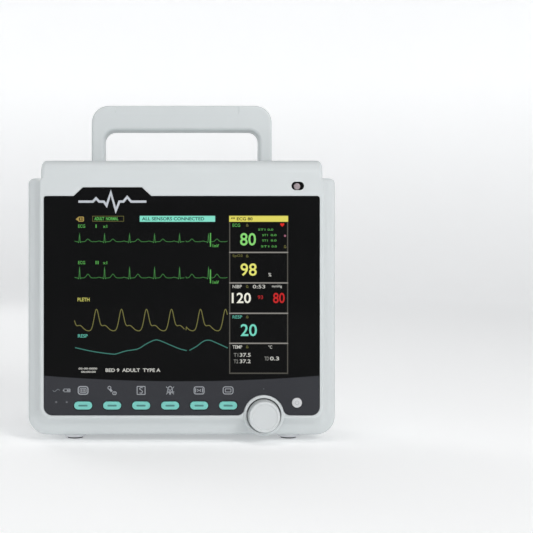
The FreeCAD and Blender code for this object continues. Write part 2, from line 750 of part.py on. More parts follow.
SPEAKER = SimpleNamespace(x=-105, z=120, radius=20)
BATTERY = SimpleNamespace(half_x=62, front=-14, back=40, cover_edge=6.8, screw_edge=3.6)


def slot_rows(name, x, z, length, width, pitch, count, front, back):
    """A level slot repeated upwards by a linear pattern, as a cutter through the rear wall."""
    body = new_body(name)
    outline = front_sketch(body, name + "_outline", front)
    add_slot(outline, x, z, length, width)
    first = pad(body, outline, as_dim(back) - front, back=True)
    DOC.recompute()
    rows = body.newObject("PartDesign::LinearPattern", name + "_rows")
    rows.Originals = [first]
    upward = [item for item in body.Origin.OriginFeatures if item.Role == "Z_Axis"]
    rows.Direction = (upward[0], [""])
    rows.Length = pitch * (count - 1)
    rows.Occurrences = count
    body.Tip = rows
    return body


def rear_housing():
    """Moulded rear shell with screw wells, mount bosses, vents, and openings for what sits in it."""
    shell = cut("housing_shell", housing_form("housing_outside", 0),
                housing_form("housing_inside", S.wall.value))
    added = [shell]
    removed = []
    for number, (across, height) in enumerate(CORNER_BOSSES):
        rear = S.bay_wall if height < S.bay_top.value else S.rear
        added.append(rod(f"well_{number}", 6, rear - 1 - S.seam, "y", (across, S.seam, height)))
        removed.append(rod(f"well_bore_{number}", 4, rear - S.seam - 5, "y",
                           (across, S.seam + 6, height)))
        removed.append(rod(f"well_hole_{number}", 1.7, 10, "y", (across, S.seam - 1, height)))
    for number, (across, height) in enumerate(MOUNTS):
        added.append(rod(f"mount_boss_{number}", 6, 10, "y", (across, S.rear - 11, height)))
        removed.append(rod(f"mount_hole_{number}", 3.2, 12, "y", (across, S.rear - 11, height)))
    for number, (across, depth) in enumerate(HANDLE_BOLTS):
        removed.append(rod(f"handle_hole_{number}", 2, 6, "z", (across, depth, S.hood_top - 5)))
    for name, depth, height, collar, _ in SIDE_SOCKETS:
        removed.append(rod(name + "_wall_hole", collar - 1.5, 10, "x",
                           (-SIDE_FACE - 3, depth, height)))
    removed.append(box("oxygen_wall_hole", (-SIDE_FACE - 3, -SIDE_FACE + 6),
                       (OXYGEN.depth - OXYGEN.length / 2 + 1, OXYGEN.depth + OXYGEN.length / 2 - 1),
                       (OXYGEN.height - OXYGEN.width / 2 + 1, OXYGEN.height + OXYGEN.width / 2 - 1)))
    for name, item in (("inlet_hole", INLET), ("network_hole", NETWORK)):
        removed.append(box(name, (item.x - item.half_x, item.x + item.half_x),
                           (S.bay_wall - 8, S.bay_wall + 2),
                           (item.z - item.half_z, item.z + item.half_z)))
    removed.append(rod("earth_hole", 4, 10, "y", (EARTH.x, S.bay_wall - 8, EARTH.z)))
    for number, (across, height) in enumerate(FUSES):
        removed.append(rod(f"fuse_hole_{number}", 6, 10, "y", (across, S.bay_wall - 8, height)))
    reach = BATTERY.half_x + BATTERY.cover_edge + 0.2
    removed.append(box("battery_opening", (-reach, reach), (BATTERY.front - 4, BATTERY.back + 4),
                       (S.body_floor - 1, S.body_floor + S.wall)))
    middle = (BATTERY.front + BATTERY.back) / 2
    for side in (-1, 1):
        ends = sorted([side * (BATTERY.half_x + 0.5), side * (reach + 6)])
        name = "left" if side < 0 else "right"
        added.append(box(f"cover_tab_{name}", ends, (middle - 7, middle + 7),
                         (S.body_floor + S.wall, S.body_floor + S.wall + 4)))
        removed.append(rod(f"tab_thread_{name}", 1.5, 6, "z",
                           (side * (BATTERY.half_x + BATTERY.screw_edge), middle,
                            S.body_floor + S.wall - 1)))
    past = S.rear + 2
    removed.append(slot_rows("rear_vents", 0, 226, 150, 3.2, 6.5, 5, S.rear - 8, past))
    removed.append(slot_rows("speaker_slots", SPEAKER.x, SPEAKER.z - 12, 28, 2.6, 6, 5,
                             S.rear - 8, past))
    whole = fuse("housing_whole", *added)
    return part("rear_housing", cut("rear_housing", whole, *removed))


def housing_fasteners():
    """Long-well screws that hold the two shells together, and brass inserts for a mount."""
    screws = []
    for number, (across, height) in enumerate(CORNER_BOSSES):
        head = rod(f"screw_head_{number}", 3.2, 2.6, "y", (across, S.seam + 6, height))
        drive_hole = rod(f"screw_drive_{number}", 1.3, 1.8, "y", (across, S.seam + 7.4, height))
        shank = rod(f"screw_shank_{number}", 1.5, S.seam + 6.5 - SHANK_END, "y",
                    (across, SHANK_END, height))
        screws.append(fuse(f"screw_{number}", cut(f"screw_top_{number}", head, drive_hole), shank))
    part("housing_screws", group("housing_screws", *screws))
    inserts = []
    for number, (across, height) in enumerate(MOUNTS):
        outside = rod(f"insert_outside_{number}", 3.2, 11, "y", (across, S.rear - 11, height))
        thread = rod(f"insert_thread_{number}", S.mount_radius, 13, "y",
                     (across, S.rear - 12, height))
        inserts.append(cut(f"insert_{number}", outside, thread))
    part("mount_inserts", group("mount_inserts", *inserts))


# ---------------------------------------------------------------- handle

def handle():
    """Moulded carrying handle with a shallow grip recess along the bar."""
    body = new_body("handle_body")
    outline = front_sketch(body, "handle_outline", S.handle_front)
    add_rounded_rect(outline, -S.handle_half, S.handle_half, S.hood_top - 12, S.handle_top, 6,
                     S.handle_corner)
    pad(body, outline, S.handle_depth, back=True)
    opening = front_sketch(body, "handle_opening", S.handle_front)
    add_rounded_rect(opening, -S.handle_open_half, S.handle_open_half, S.hood_top - 30,
                     S.handle_open_top, 1, S.handle_open_corner)
    pocket(body, opening, S.handle_depth)
    back = S.handle_front + S.handle_depth

    def bar_edge(edge):
        flat = lies_at(edge, y=S.handle_front) or lies_at(edge, y=back)
        return flat and edge.BoundBox.ZMax > S.hood_top.value + 2

    def inner_edge(edge):
        limits = edge.BoundBox
        widest = max(abs(limits.XMin), abs(limits.XMax))
        return (bar_edge(edge) and widest < S.handle_open_half.value + 0.01
                and limits.ZMax < S.handle_open_top.value + 0.01)

    def outer_edge(edge):
        limits = edge.BoundBox
        widest = max(abs(limits.XMin), abs(limits.XMax))
        return bar_edge(edge) and (widest > S.handle_half.value - 0.01
                                   or limits.ZMin > S.handle_top.value - 0.01)

    round_edges(body, 4, inner_edge)
    round_edges(body, 3, outer_edge)
    return body


def handle_pieces():
    """The handle with its grip recess and threads, and the four screws that hold it."""
    blank = handle()
    recess = new_body("grip_recess")
    outline = front_sketch(recess, "grip_outline", S.handle_front - 1)
    add_rounded_rect(outline, -70.5, 61, S.handle_top - 10.2, S.handle_top + 10, 3.5, 1)
    pad(recess, outline, 1.8, back=True)
    holes = []
    screws = []
    for number, (across, depth) in enumerate(HANDLE_BOLTS):
        holes.append(rod(f"handle_thread_{number}", 2, 15, "z", (across, depth, S.hood_top - 1)))
        head = rod(f"handle_head_{number}", 3.6, 2.6, "z",
                   (across, depth, S.hood_top - S.wall - 2.6))
        shank = rod(f"handle_shank_{number}", 2, S.wall + 13, "z",
                    (across, depth, S.hood_top - S.wall - 0.5))
        screws.append(fuse(f"handle_screw_{number}", head, shank))
    below = box("handle_trim", (-120, 120), (0, 60), (S.hood_top - 40, S.hood_top))
    part("handle", cut("handle_whole", blank, recess, below, *holes))
    part("handle_screws", group("handle_screws", *screws))


# ---------------------------------------------------------------- feet and battery

def feet():
    """A cup under each corner, with a rubber pad set into it."""
    corners = {
        "front_left": (-S.foot_place, S.foot_front), "front_right": (S.foot_place, S.foot_front),
        "back_left": (-S.foot_place, S.foot_back), "back_right": (S.foot_place, S.foot_back),
    }
    for name, (across, depth) in corners.items():
        cup = new_body(f"cup_{name}")
        base = sketch_on(cup, f"cup_base_{name}", "XY_Plane", S.body_floor)
        add_circle(base, across, depth, S.foot_radius)
        pad(cup, base, S.body_floor - S.pad_proud, back=True)
        round_edges(cup, 3.3, lambda edge: lies_at(edge, z=S.pad_proud))
        seat = sketch_on(cup, f"cup_seat_{name}", "XY_Plane", S.pad_proud)
        add_circle(seat, across, depth, S.pad_radius + 0.2)
        pocket(cup, seat, S.pad_seat, back=True)
        part(f"foot_cup_{name}", cup)
        rubber = new_body(f"rubber_{name}")
        disc = sketch_on(rubber, f"rubber_disc_{name}", "XY_Plane", 0)
        add_circle(disc, across, depth, S.pad_radius)
        pad(rubber, disc, S.pad_proud + S.pad_seat)
        round_edges(rubber, 0.5, lambda edge: lies_at(edge, z=0))
        part(f"foot_pad_{name}", rubber)


def battery():
    """Battery pack above a flush cover in the housing's floor, held by two screws."""
    half = BATTERY.half_x
    low = S.body_floor + 3.4
    part("battery_pack", box("battery_case", (-half, half), (BATTERY.front, BATTERY.back),
                             (low, low + 22)))
    cover_half = half + BATTERY.cover_edge
    cover = box("cover_plate", (-cover_half, cover_half), (BATTERY.front - 3.8, BATTERY.back + 3.8),
                (S.body_floor, S.body_floor + S.wall))
    holes = []
    screws = []
    middle = (BATTERY.front + BATTERY.back) / 2
    for number, side in enumerate((-1, 1)):
        across = side * (half + BATTERY.screw_edge)
        holes.append(rod(f"cover_hole_{number}", 1.6, 5, "z", (across, middle, S.body_floor - 1)))
        holes.append(rod(f"cover_sink_{number}", 2.4, 2.4, "z", (across, middle, S.body_floor - 1)))
        head = rod(f"cover_head_{number}", 2.3, 1.3, "z", (across, middle, S.body_floor + 0.1))
        shank = rod(f"cover_shank_{number}", 1.5, 5.5, "z", (across, middle, S.body_floor + 1))
        screws.append(fuse(f"cover_screw_{number}", head, shank))
    part("battery_cover", cut("battery_cover_whole", cover, *holes))
    part("battery_cover_screws", group("battery_cover_screws", *screws))


# ---------------------------------------------------------------- side and rear sockets

def side_panel():
    """Flat plate on the left wall that the patient sockets stand in."""
    plate = new_body("side_plate")
    outline = sketch_on(plate, "side_outline", "YZ_Plane", -PANEL_FACE)
    add_rounded_rect(outline, -22, 46, 128, 224, 5, 5)
    pad(plate, outline, S.side_panel_thick)
    holes = []
    for name, depth, height, collar, _ in SIDE_SOCKETS:
        holes.append(rod(name + "_plate_hole", collar - 1.5, 6, "x", (-PANEL_FACE - 2, depth, height)))
    holes.append(box("oxygen_plate_hole", (-PANEL_FACE - 2, -SIDE_FACE + 2),
                     (OXYGEN.depth - OXYGEN.length / 2 + 1, OXYGEN.depth + OXYGEN.length / 2 - 1),
                     (OXYGEN.height - OXYGEN.width / 2 + 1, OXYGEN.height + OXYGEN.width / 2 - 1)))
    part("side_panel", cut("side_panel_whole", plate, *holes))


PIN_COUNTS = {"ecg_socket": 10, "gas_module_socket": 6}


def round_sockets():
    """Round patient sockets: a collar outside the panel, a barrel through the wall, and pins."""
    reach = S.socket_reach
    floor = -SIDE_FACE + 4
    for name, depth, height, collar, bore in SIDE_SOCKETS:
        ring = new_body(name + "_ring")
        outline = sketch_on(ring, name + "_outline", "YZ_Plane", -reach)
        add_circle(outline, depth, height, collar)
        pad(ring, outline, reach - PANEL_FACE)
        round_edges(ring, 0.8, lambda edge: lies_at(edge, x=-reach))
        barrel = rod(name + "_barrel", collar - 1.5, reach - SIDE_FACE + 7, "x",
                     (-reach + 1, depth, height))
        hollow = rod(name + "_hollow", bore, reach + floor + 1, "x", (-reach - 1, depth, height))
        body = cut(name + "_shell", fuse(name + "_solid", ring, barrel), hollow)
        pins = [body]
        for number in range(PIN_COUNTS.get(name, 0)):
            turn = 2 * math.pi * number / PIN_COUNTS[name]
            pins.append(rod(f"{name}_pin_{number}", 0.5, 5, "x",
                            (floor - 4.7, depth + 0.62 * bore * math.cos(turn),
                             height + 0.62 * bore * math.sin(turn))))
        part(name, fuse(name + "_whole", *pins) if len(pins) > 1 else body)


def oxygen_socket():
    """Flat-sided sensor socket."""
    reach = S.socket_reach
    collar = new_body("oxygen_collar")
    outline = sketch_on(collar, "oxygen_outline", "YZ_Plane", -reach)
    add_rounded_rect(outline, OXYGEN.depth - OXYGEN.length / 2, OXYGEN.depth + OXYGEN.length / 2,
                     OXYGEN.height - OXYGEN.width / 2, OXYGEN.height + OXYGEN.width / 2, 3, 3)
    pad(collar, outline, reach - PANEL_FACE)
    barrel = box("oxygen_barrel", (-reach + 1, -SIDE_FACE + 8),
                 (OXYGEN.depth - OXYGEN.length / 2 + 1, OXYGEN.depth + OXYGEN.length / 2 - 1),
                 (OXYGEN.height - OXYGEN.width / 2 + 1, OXYGEN.height + OXYGEN.width / 2 - 1))
    hollow = box("oxygen_hollow", (-reach - 1, -SIDE_FACE + 4),
                 (OXYGEN.depth - OXYGEN.hole_length / 2, OXYGEN.depth + OXYGEN.hole_length / 2),
                 (OXYGEN.height - OXYGEN.hole_width / 2, OXYGEN.height + OXYGEN.hole_width / 2))
    part("oxygen_socket", cut("oxygen_whole", fuse("oxygen_solid", collar, barrel), hollow))


def rear_sockets():
    """Mains inlet, fuse holders, earth stud and network port in the rear bay."""
    collar_back = S.bay_wall + 11
    inlet = fuse(
        "inlet_solid",
        box("inlet_flange", (INLET.x - 22, INLET.x + 22), (S.bay_wall, S.bay_wall + 2),
            (INLET.z - 13, INLET.z + 13)),
        box("inlet_case", (INLET.x - 14, INLET.x + 14), (S.bay_wall - 14, collar_back),
            (INLET.z - 10, INLET.z + 10)))
    cavity = box("inlet_cavity", (INLET.x - 12, INLET.x + 12), (S.bay_wall - 2, collar_back + 1),
                 (INLET.z - 8, INLET.z + 8))
    blades = []
    for number, (across, height) in enumerate([(-7, 2), (0, -3), (7, 2)]):
        blades.append(box(f"inlet_blade_{number}", (INLET.x + across - 1, INLET.x + across + 1),
                          (S.bay_wall - 3, S.bay_wall + 6),
                          (INLET.z + height - 2, INLET.z + height + 2)))
    part("mains_inlet", fuse("inlet_whole", cut("inlet_open", inlet, cavity), *blades))
    fuses = []
    for number, (across, height) in enumerate(FUSES):
        cap = rod(f"fuse_cap_{number}", 7, 5, "y", (across, S.bay_wall, height))
        barrel = rod(f"fuse_barrel_{number}", 6, 22, "y", (across, S.bay_wall - 21, height))
        slot = box(f"fuse_slot_{number}", (across - 4, across + 4),
                   (S.bay_wall + 4, S.bay_wall + 6), (height - 0.6, height + 0.6))
        fuses.append(cut(f"fuse_{number}", fuse(f"fuse_solid_{number}", cap, barrel), slot))
    part("fuse_holders", group("fuse_holders", *fuses))
    stud = rod("stud_rod", 3, 16, "y", (EARTH.x, S.bay_wall - 6, EARTH.z))
    nut = rod("stud_collar", 6, 2.5, "y", (EARTH.x, S.bay_wall, EARTH.z))
    sleeve = rod("stud_sleeve", 4, 6.5, "y", (EARTH.x, S.bay_wall - 6, EARTH.z))
    part("earth_stud", fuse("earth_whole", stud, nut, sleeve))
    port = box("port_case", (NETWORK.x - 8, NETWORK.x + 8), (S.bay_wall - 12, S.bay_wall + 7),
               (NETWORK.z - 7, NETWORK.z + 7))
    port_hole = box("port_hole", (NETWORK.x - 6, NETWORK.x + 6), (S.bay_wall - 8, S.bay_wall + 8),
                    (NETWORK.z - 4.5, NETWORK.z + 4))
    part("network_port", cut("network_whole", port, port_hole))


# ---------------------------------------------------------------- inside

def insides():
    """Chassis, boards, supply, cuff pump with its hose, and speaker, as plain solids."""
    chassis = box("chassis_sheet", (-122, 122), (-44, -42.5), (68, 238))
    window = box("chassis_window", (-60, 60), (-46, -40), (110, 200))
    part("chassis", cut("chassis_whole", chassis, window))
    board = box("main_sheet", (-112, 60), (-30, -28.4), (92, 236))
    stand_offs = []
    holes = []
    for number, (across, height) in enumerate([(-106, 98), (54, 98), (-106, 230), (54, 230)]):
        post = rod(f"stand_off_{number}", 2.6, 12.5, "y", (across, -42.5, height))
        shank = rod(f"board_shank_{number}", 1.5, 4, "y", (across, -32, height))
        head = rod(f"board_head_{number}", 2.6, 1.6, "y", (across, -28.4, height))
        stand_offs.append(fuse(f"board_screw_{number}", post, shank, head))
        holes.append(rod(f"board_hole_{number}", 1.5, 4, "y", (across, -32, height)))
    part("main_board", cut("main_board_whole", board, *holes))
    part("board_screws", group("board_screws", *stand_offs))
    part("measuring_board", box("measuring_sheet", (-134, -132.4), (-20, 46), (100, 160)))
    part("power_supply", box("supply_case", (20, 128), (8, 50), (92, 214)))
    part("speaker", fuse(
        "speaker_whole",
        rod("speaker_rim", SPEAKER.radius, 4, "y", (SPEAKER.x, S.rear - S.wall - 4, SPEAKER.z)),
        cone("speaker_cone", 11, 18, 10, "y", (SPEAKER.x, S.rear - S.wall - 14, SPEAKER.z))))
    part("cuff_pump", rod("pump_case", 13, 46, "x", (-60, 28, 62)))
    part("cuff_valve", fuse("valve_whole",
                            box("valve_case", (-88, -64), (18, 36), (52, 70)),
                            rod("valve_nipple", 2.4, 6, "z", (-76, 27, 69))))
    part("cuff_hose", hose())


def rounded_wire(points, bend):
    """Straight runs through the points, joined by arcs of one radius."""
    edges = []
    start = points[0]
    for before, corner, after in zip(points, points[1:], points[2:]):
        arriving = (corner - before).normalize()
        leaving = (after - corner).normalize()
        half_turn = arriving.getAngle(leaving) / 2
        trim = bend * math.tan(half_turn)
        arc_start = corner - arriving * trim
        arc_end = corner + leaving * trim
        inward = (leaving - arriving).normalize()
        middle = corner + inward * (bend / math.cos(half_turn) - bend)
        edges.append(Part.LineSegment(start, arc_start).toShape())
        edges.append(Part.Arc(arc_start, middle, arc_end).toShape())
        start = arc_end
    edges.append(Part.LineSegment(start, points[-1]).toShape())
    return Part.Wire(edges)


def hose():
    """Air hose from the valve up, across and forward to the cuff port."""
    height = 172
    points = [
        FreeCAD.Vector(-76, 27, 75), FreeCAD.Vector(-76, 27, height),
        FreeCAD.Vector(-112, 27, height), FreeCAD.Vector(-112, -4, height),
        FreeCAD.Vector(-139, -4, height),
    ]
    path = rounded_wire(points, 14)
    radius = 3
    section = Part.Wire([Part.Circle(points[0], FreeCAD.Vector(0, 0, 1), radius).toShape()])
    obj = DOC.addObject("Part::Feature", "hose_tube")
    obj.Shape = path.makePipeShell([section], True, False)
    expected = math.pi * radius ** 2 * path.Length
    if abs(obj.Shape.Volume - expected) > 0.01 * expected:
        raise ValueError("the hose's volume is wrong")
    return obj


# ---------------------------------------------------------------- the whole

def build():
    front_bezel()
    window_panel()
    alarm_light()
    keys()
    key_pad_and_board()
    status_lights()
    power_button()
    knob()
    encoder()
    display()
    rear_housing()
    housing_fasteners()
    handle_pieces()
    feet()
    battery()
    side_panel()
    round_sockets()
    oxygen_socket()
    rear_sockets()
    insides()
    DOC.recompute()


def check():
    """Stop if any object failed or any sub-part is empty or broken."""
    for obj in DOC.Objects:
        if "Invalid" in obj.State or "Error" in obj.State:
            raise ValueError(f"{obj.Label} did not build: {obj.State}")
    for obj in PARTS:
        if obj.Shape.isNull() or not obj.Shape.isValid():
            raise ValueError(f"{obj.Label} has no valid shape")


build()
check()
os.makedirs("parts", exist_ok=True)
for sub_part in PARTS:
    sub_part.Shape.exportStep(f"parts/{sub_part.Label}.step")
print(len(PARTS), "sub-parts written")
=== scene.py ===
"""Patient monitor: finishes, display content, printed marks, stage, lights and camera."""

import json
import math

import bmesh
import bpy
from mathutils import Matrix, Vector


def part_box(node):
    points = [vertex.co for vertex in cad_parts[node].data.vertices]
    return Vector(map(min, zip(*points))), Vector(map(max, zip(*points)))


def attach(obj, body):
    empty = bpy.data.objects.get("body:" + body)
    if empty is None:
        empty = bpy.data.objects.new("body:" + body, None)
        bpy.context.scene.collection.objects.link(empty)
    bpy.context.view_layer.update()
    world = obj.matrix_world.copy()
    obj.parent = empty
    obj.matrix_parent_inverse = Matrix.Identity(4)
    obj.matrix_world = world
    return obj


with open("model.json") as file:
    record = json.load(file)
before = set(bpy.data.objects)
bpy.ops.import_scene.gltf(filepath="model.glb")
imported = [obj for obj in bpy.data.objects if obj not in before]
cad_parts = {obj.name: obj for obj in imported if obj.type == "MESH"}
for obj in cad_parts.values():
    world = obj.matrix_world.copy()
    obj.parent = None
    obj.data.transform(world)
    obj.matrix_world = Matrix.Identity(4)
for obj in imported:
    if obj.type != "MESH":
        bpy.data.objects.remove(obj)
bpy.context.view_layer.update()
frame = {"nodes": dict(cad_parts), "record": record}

MM = 0.001
NODES = frame["nodes"]
SLOT_OF = {row["node"]: row["material_slot"] for row in frame["record"]["subparts"]}


# ---------------------------------------------------------------- places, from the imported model

def corners(node):
    """Lowest and highest corner of a node, in millimetres."""
    low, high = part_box(node)
    return Vector(low) / MM, Vector(high) / MM


def middle(node):
    """Middle of a node's box, in millimetres."""
    low, high = corners(node)
    return (low + high) / 2


WINDOW_LOW, WINDOW_HIGH = corners("window_panel")
KEYS = [f"key_{number}" for number in range(1, 7)]
KEY_MIDDLES = [middle(key) for key in KEYS]
WINDOW_FRONT = WINDOW_LOW.y

# The display area, across the middle of the window: its width and its lower left corner.
SCREEN_WIDTH = 212.0
SCREEN_LEFT = -SCREEN_WIDTH / 2
SCREEN_FOOT = 70.4

PRINT_GAP = 0.02
PRINT_THICK = 0.03
LAYER_STEP = 0.05

# The grey control band of the window: its upper edge sags towards the middle.
BAND_MIDDLE = 62.3
BAND_RISE = 5.6
BAND_REACH = WINDOW_HIGH.x


# ---------------------------------------------------------------- materials

def linear(red, green, blue):
    """A display colour, 0 to 255, as linear values."""
    def one(value):
        value /= 255
        return value / 12.92 if value <= 0.04045 else ((value + 0.055) / 1.055) ** 2.4
    return one(red), one(green), one(blue), 1.0


class Finish:
    """A node material around one Principled shader, with colour, roughness and bump from noise."""

    def __init__(self, name, roughness, metallic=0.0, specular=0.5, coat=0.0):
        self.material = bpy.data.materials.new(name)
        self.material.use_nodes = True
        self.nodes = self.material.node_tree.nodes
        self.links = self.material.node_tree.links
        self.shader = self.nodes["Principled BSDF"]
        self.shader.inputs["Roughness"].default_value = roughness
        self.shader.inputs["Metallic"].default_value = metallic
        self.shader.inputs["Specular IOR Level"].default_value = specular
        self.shader.inputs["Coat Weight"].default_value = coat
        self.place = self.nodes.new("ShaderNodeTexCoord").outputs["Object"]
        self.roughness = roughness

    def noise(self, scale, detail=2.0, distortion=0.0, stretch=None):
        """Noise on the object's own coordinates; stretch scales the three directions."""
        place = self.place
        if stretch:
            mapping = self.nodes.new("ShaderNodeMapping")
            mapping.inputs["Scale"].default_value = stretch
            self.links.new(place, mapping.inputs["Vector"])
            place = mapping.outputs["Vector"]
        texture = self.nodes.new("ShaderNodeTexNoise")
        texture.inputs["Scale"].default_value = scale
        texture.inputs["Detail"].default_value = detail
        texture.inputs["Distortion"].default_value = distortion
        self.links.new(place, texture.inputs["Vector"])
        return texture.outputs["Fac"]

    def math(self, operation, first, second=0.0, third=0.0):
        node = self.nodes.new("ShaderNodeMath")
        node.operation = operation
        for socket, value in zip(node.inputs, (first, second, third)):
            if isinstance(value, (int, float)):
                socket.default_value = value
            else:
                self.links.new(value, socket)
        return node.outputs[0]

    def mix(self, factor, first, second):
        """Colour mix; first and second are colours or sockets."""
        node = self.nodes.new("ShaderNodeMix")
        node.data_type = "RGBA"
        self.links.new(factor, node.inputs["Factor"])
        for socket, value in ((node.inputs[6], first), (node.inputs[7], second)):
            if isinstance(value, (tuple, list)):
                socket.default_value = value
            else:
                self.links.new(value, socket)
        return node.outputs[2]

    def spread(self, factor, low, high):
        """A factor from 0 to 1 turned into a value from low to high."""
        node = self.nodes.new("ShaderNodeMapRange")
        node.inputs["To Min"].default_value = low
        node.inputs["To Max"].default_value = high
        self.links.new(factor, node.inputs["Value"])
        return node.outputs["Result"]

    def paint(self, colour, variation=0.04, scale=35.0):
        """Base colour that drifts a little over the surface."""
        darker = tuple(part * (1 - variation) for part in colour[:3]) + (1.0,)
        lighter = tuple(min(1.0, part * (1 + variation)) for part in colour[:3]) + (1.0,)
        result = self.mix(self.noise(scale), darker, lighter)
        self.links.new(result, self.shader.inputs["Base Color"])
        return result

    def surface(self, grain=2500.0, bump=0.05, depth=0.02, drift=0.06):
        """Fine moulded grain as bump, and roughness that drifts by the given amount."""
        drifting = self.spread(self.noise(60.0), max(0.02, self.roughness - drift), self.roughness + drift)
        self.links.new(drifting, self.shader.inputs["Roughness"])
        node = self.nodes.new("ShaderNodeBump")
        node.inputs["Strength"].default_value = bump
        node.inputs["Distance"].default_value = depth * MM
        self.links.new(self.noise(grain, detail=1.0), node.inputs["Height"])
        self.links.new(node.outputs["Normal"], self.shader.inputs["Normal"])
        return self


def plastic(name, colour, roughness=0.42, grain=2200.0, bump=0.25, specular=0.5, variation=0.02):
    """Satin moulded plastic with a fine sparked texture."""
    made = Finish(name, roughness, specular=specular)
    made.paint(colour, variation)
    return made.surface(grain, bump).material


def metal(name, colour, roughness=0.35, stretch=(1.0, 1.0, 1.0), grain=900.0):
    """Metal with fine tooling marks, drawn out along one direction by stretch."""
    made = Finish(name, roughness, metallic=1.0)
    made.paint(colour, 0.06)
    lines = made.noise(grain, detail=3.0, stretch=stretch)
    made.links.new(made.spread(lines, roughness - 0.1, roughness + 0.12), made.shader.inputs["Roughness"])
    node = made.nodes.new("ShaderNodeBump")
    node.inputs["Strength"].default_value = 0.15
    node.inputs["Distance"].default_value = 0.01 * MM
    made.links.new(lines, node.inputs["Height"])
    made.links.new(node.outputs["Normal"], made.shader.inputs["Normal"])
    return made.material


def plastic_over_painted_shade(name, colour, depth, roughness, bump):
    """A coloured cap over a base painted near black as shade in the gap round it; the painted shade starts at
    the given depth (millimetres of y).
    """
    made = Finish(name, roughness)
    split = made.nodes.new("ShaderNodeSeparateXYZ")
    made.links.new(made.place, split.inputs["Vector"])
    # Painted shade: deeper than the given depth the plastic is painted near black, for the shade in the gap
    # round the key or button.
    behind = made.math("GREATER_THAN", split.outputs["Y"], depth * MM)
    cap = made.paint(colour, 0.02)
    made.links.new(made.mix(behind, cap, linear(14, 15, 16)), made.shader.inputs["Base Color"])
    return made.surface(1600.0, bump).material


def rubber(name, colour, roughness=0.75):
    """Matt rubber or silicone."""
    made = Finish(name, roughness, specular=0.3)
    made.paint(colour, 0.12, 90.0)
    return made.surface(1400.0, 0.35, 0.04, 0.08).material


def window_material():
    """Glossy black acrylic, printed behind with a dark grey band along the bottom."""
    made = Finish("window_acrylic", 0.06, specular=0.04)
    split = made.nodes.new("ShaderNodeSeparateXYZ")
    made.links.new(made.place, split.inputs["Vector"])
    across = made.math("DIVIDE", split.outputs["X"], BAND_REACH * MM)
    rise = made.math("MULTIPLY", made.math("MULTIPLY", across, across), BAND_RISE * MM)
    above = made.math("SUBTRACT", split.outputs["Z"], made.math("ADD", rise, BAND_MIDDLE * MM))
    edge = made.nodes.new("ShaderNodeMapRange")
    edge.inputs["From Min"].default_value = -0.25 * MM
    edge.inputs["From Max"].default_value = 0.25 * MM
    made.links.new(above, edge.inputs["Value"])
    fine = made.noise(1800.0, detail=1.0)
    black = made.mix(made.noise(30.0), linear(13, 14, 14), linear(16, 16, 17))
    grey = made.mix(fine, linear(55, 56, 60), linear(60, 61, 65))
    made.links.new(made.mix(edge.outputs["Result"], grey, black), made.shader.inputs["Base Color"])
    made.links.new(made.spread(made.noise(25.0), 0.04, 0.08), made.shader.inputs["Roughness"])
    waves = made.nodes.new("ShaderNodeBump")
    waves.inputs["Strength"].default_value = 0.05
    waves.inputs["Distance"].default_value = 0.05 * MM
    made.links.new(made.noise(12.0), waves.inputs["Height"])
    made.links.new(waves.outputs["Normal"], made.shader.inputs["Normal"])
    return made.material


def board_material():
    """Green lacquered circuit board with lighter copper tracks under the lacquer."""
    made = Finish("circuit_board", 0.35, coat=0.3)
    cells = made.nodes.new("ShaderNodeTexBrick")
    cells.inputs["Scale"].default_value = 260.0
    cells.inputs["Mortar Size"].default_value = 0.03
    cells.inputs["Color1"].default_value = linear(20, 74, 44)
    cells.inputs["Color2"].default_value = linear(24, 84, 50)
    cells.inputs["Mortar"].default_value = linear(48, 118, 74)
    made.links.new(made.place, cells.inputs["Vector"])
    made.links.new(cells.outputs["Color"], made.shader.inputs["Base Color"])
    return made.surface(600.0, 0.1).material


def lens_material(name, colour):
    """Clear diffusing lens over an unlit lamp."""
    made = Finish(name, 0.18, coat=0.6)
    made.paint(colour, 0.12, 400.0)
    return made.surface(900.0, 0.3).material


def glow(name, colour, strength=1.0):
    """Lit display dots: a glow with the faint dot grid of the display."""
    made = Finish(name, 0.35, specular=0.1)
    made.shader.inputs["Base Color"].default_value = (0.002, 0.002, 0.002, 1.0)
    dots = made.noise(3000.0, detail=0.0)
    darker = tuple(part * 0.9 for part in colour[:3]) + (1.0,)
    made.links.new(made.mix(dots, darker, colour), made.shader.inputs["Emission Color"])
    made.shader.inputs["Emission Strength"].default_value = strength
    return made.material


def ink(name, colour, roughness=0.45):
    """Screen-printed ink."""
    made = Finish(name, roughness, specular=0.25)
    made.paint(colour, 0.05, 500.0)
    return made.surface(1500.0, 0.1).material


# The caps of the keys and of the power button end just below the window's front; behind that they are painted
# near black, as painted shade in the gap round them.
PAINTED_SHADE_DEPTH = WINDOW_FRONT + 0.5


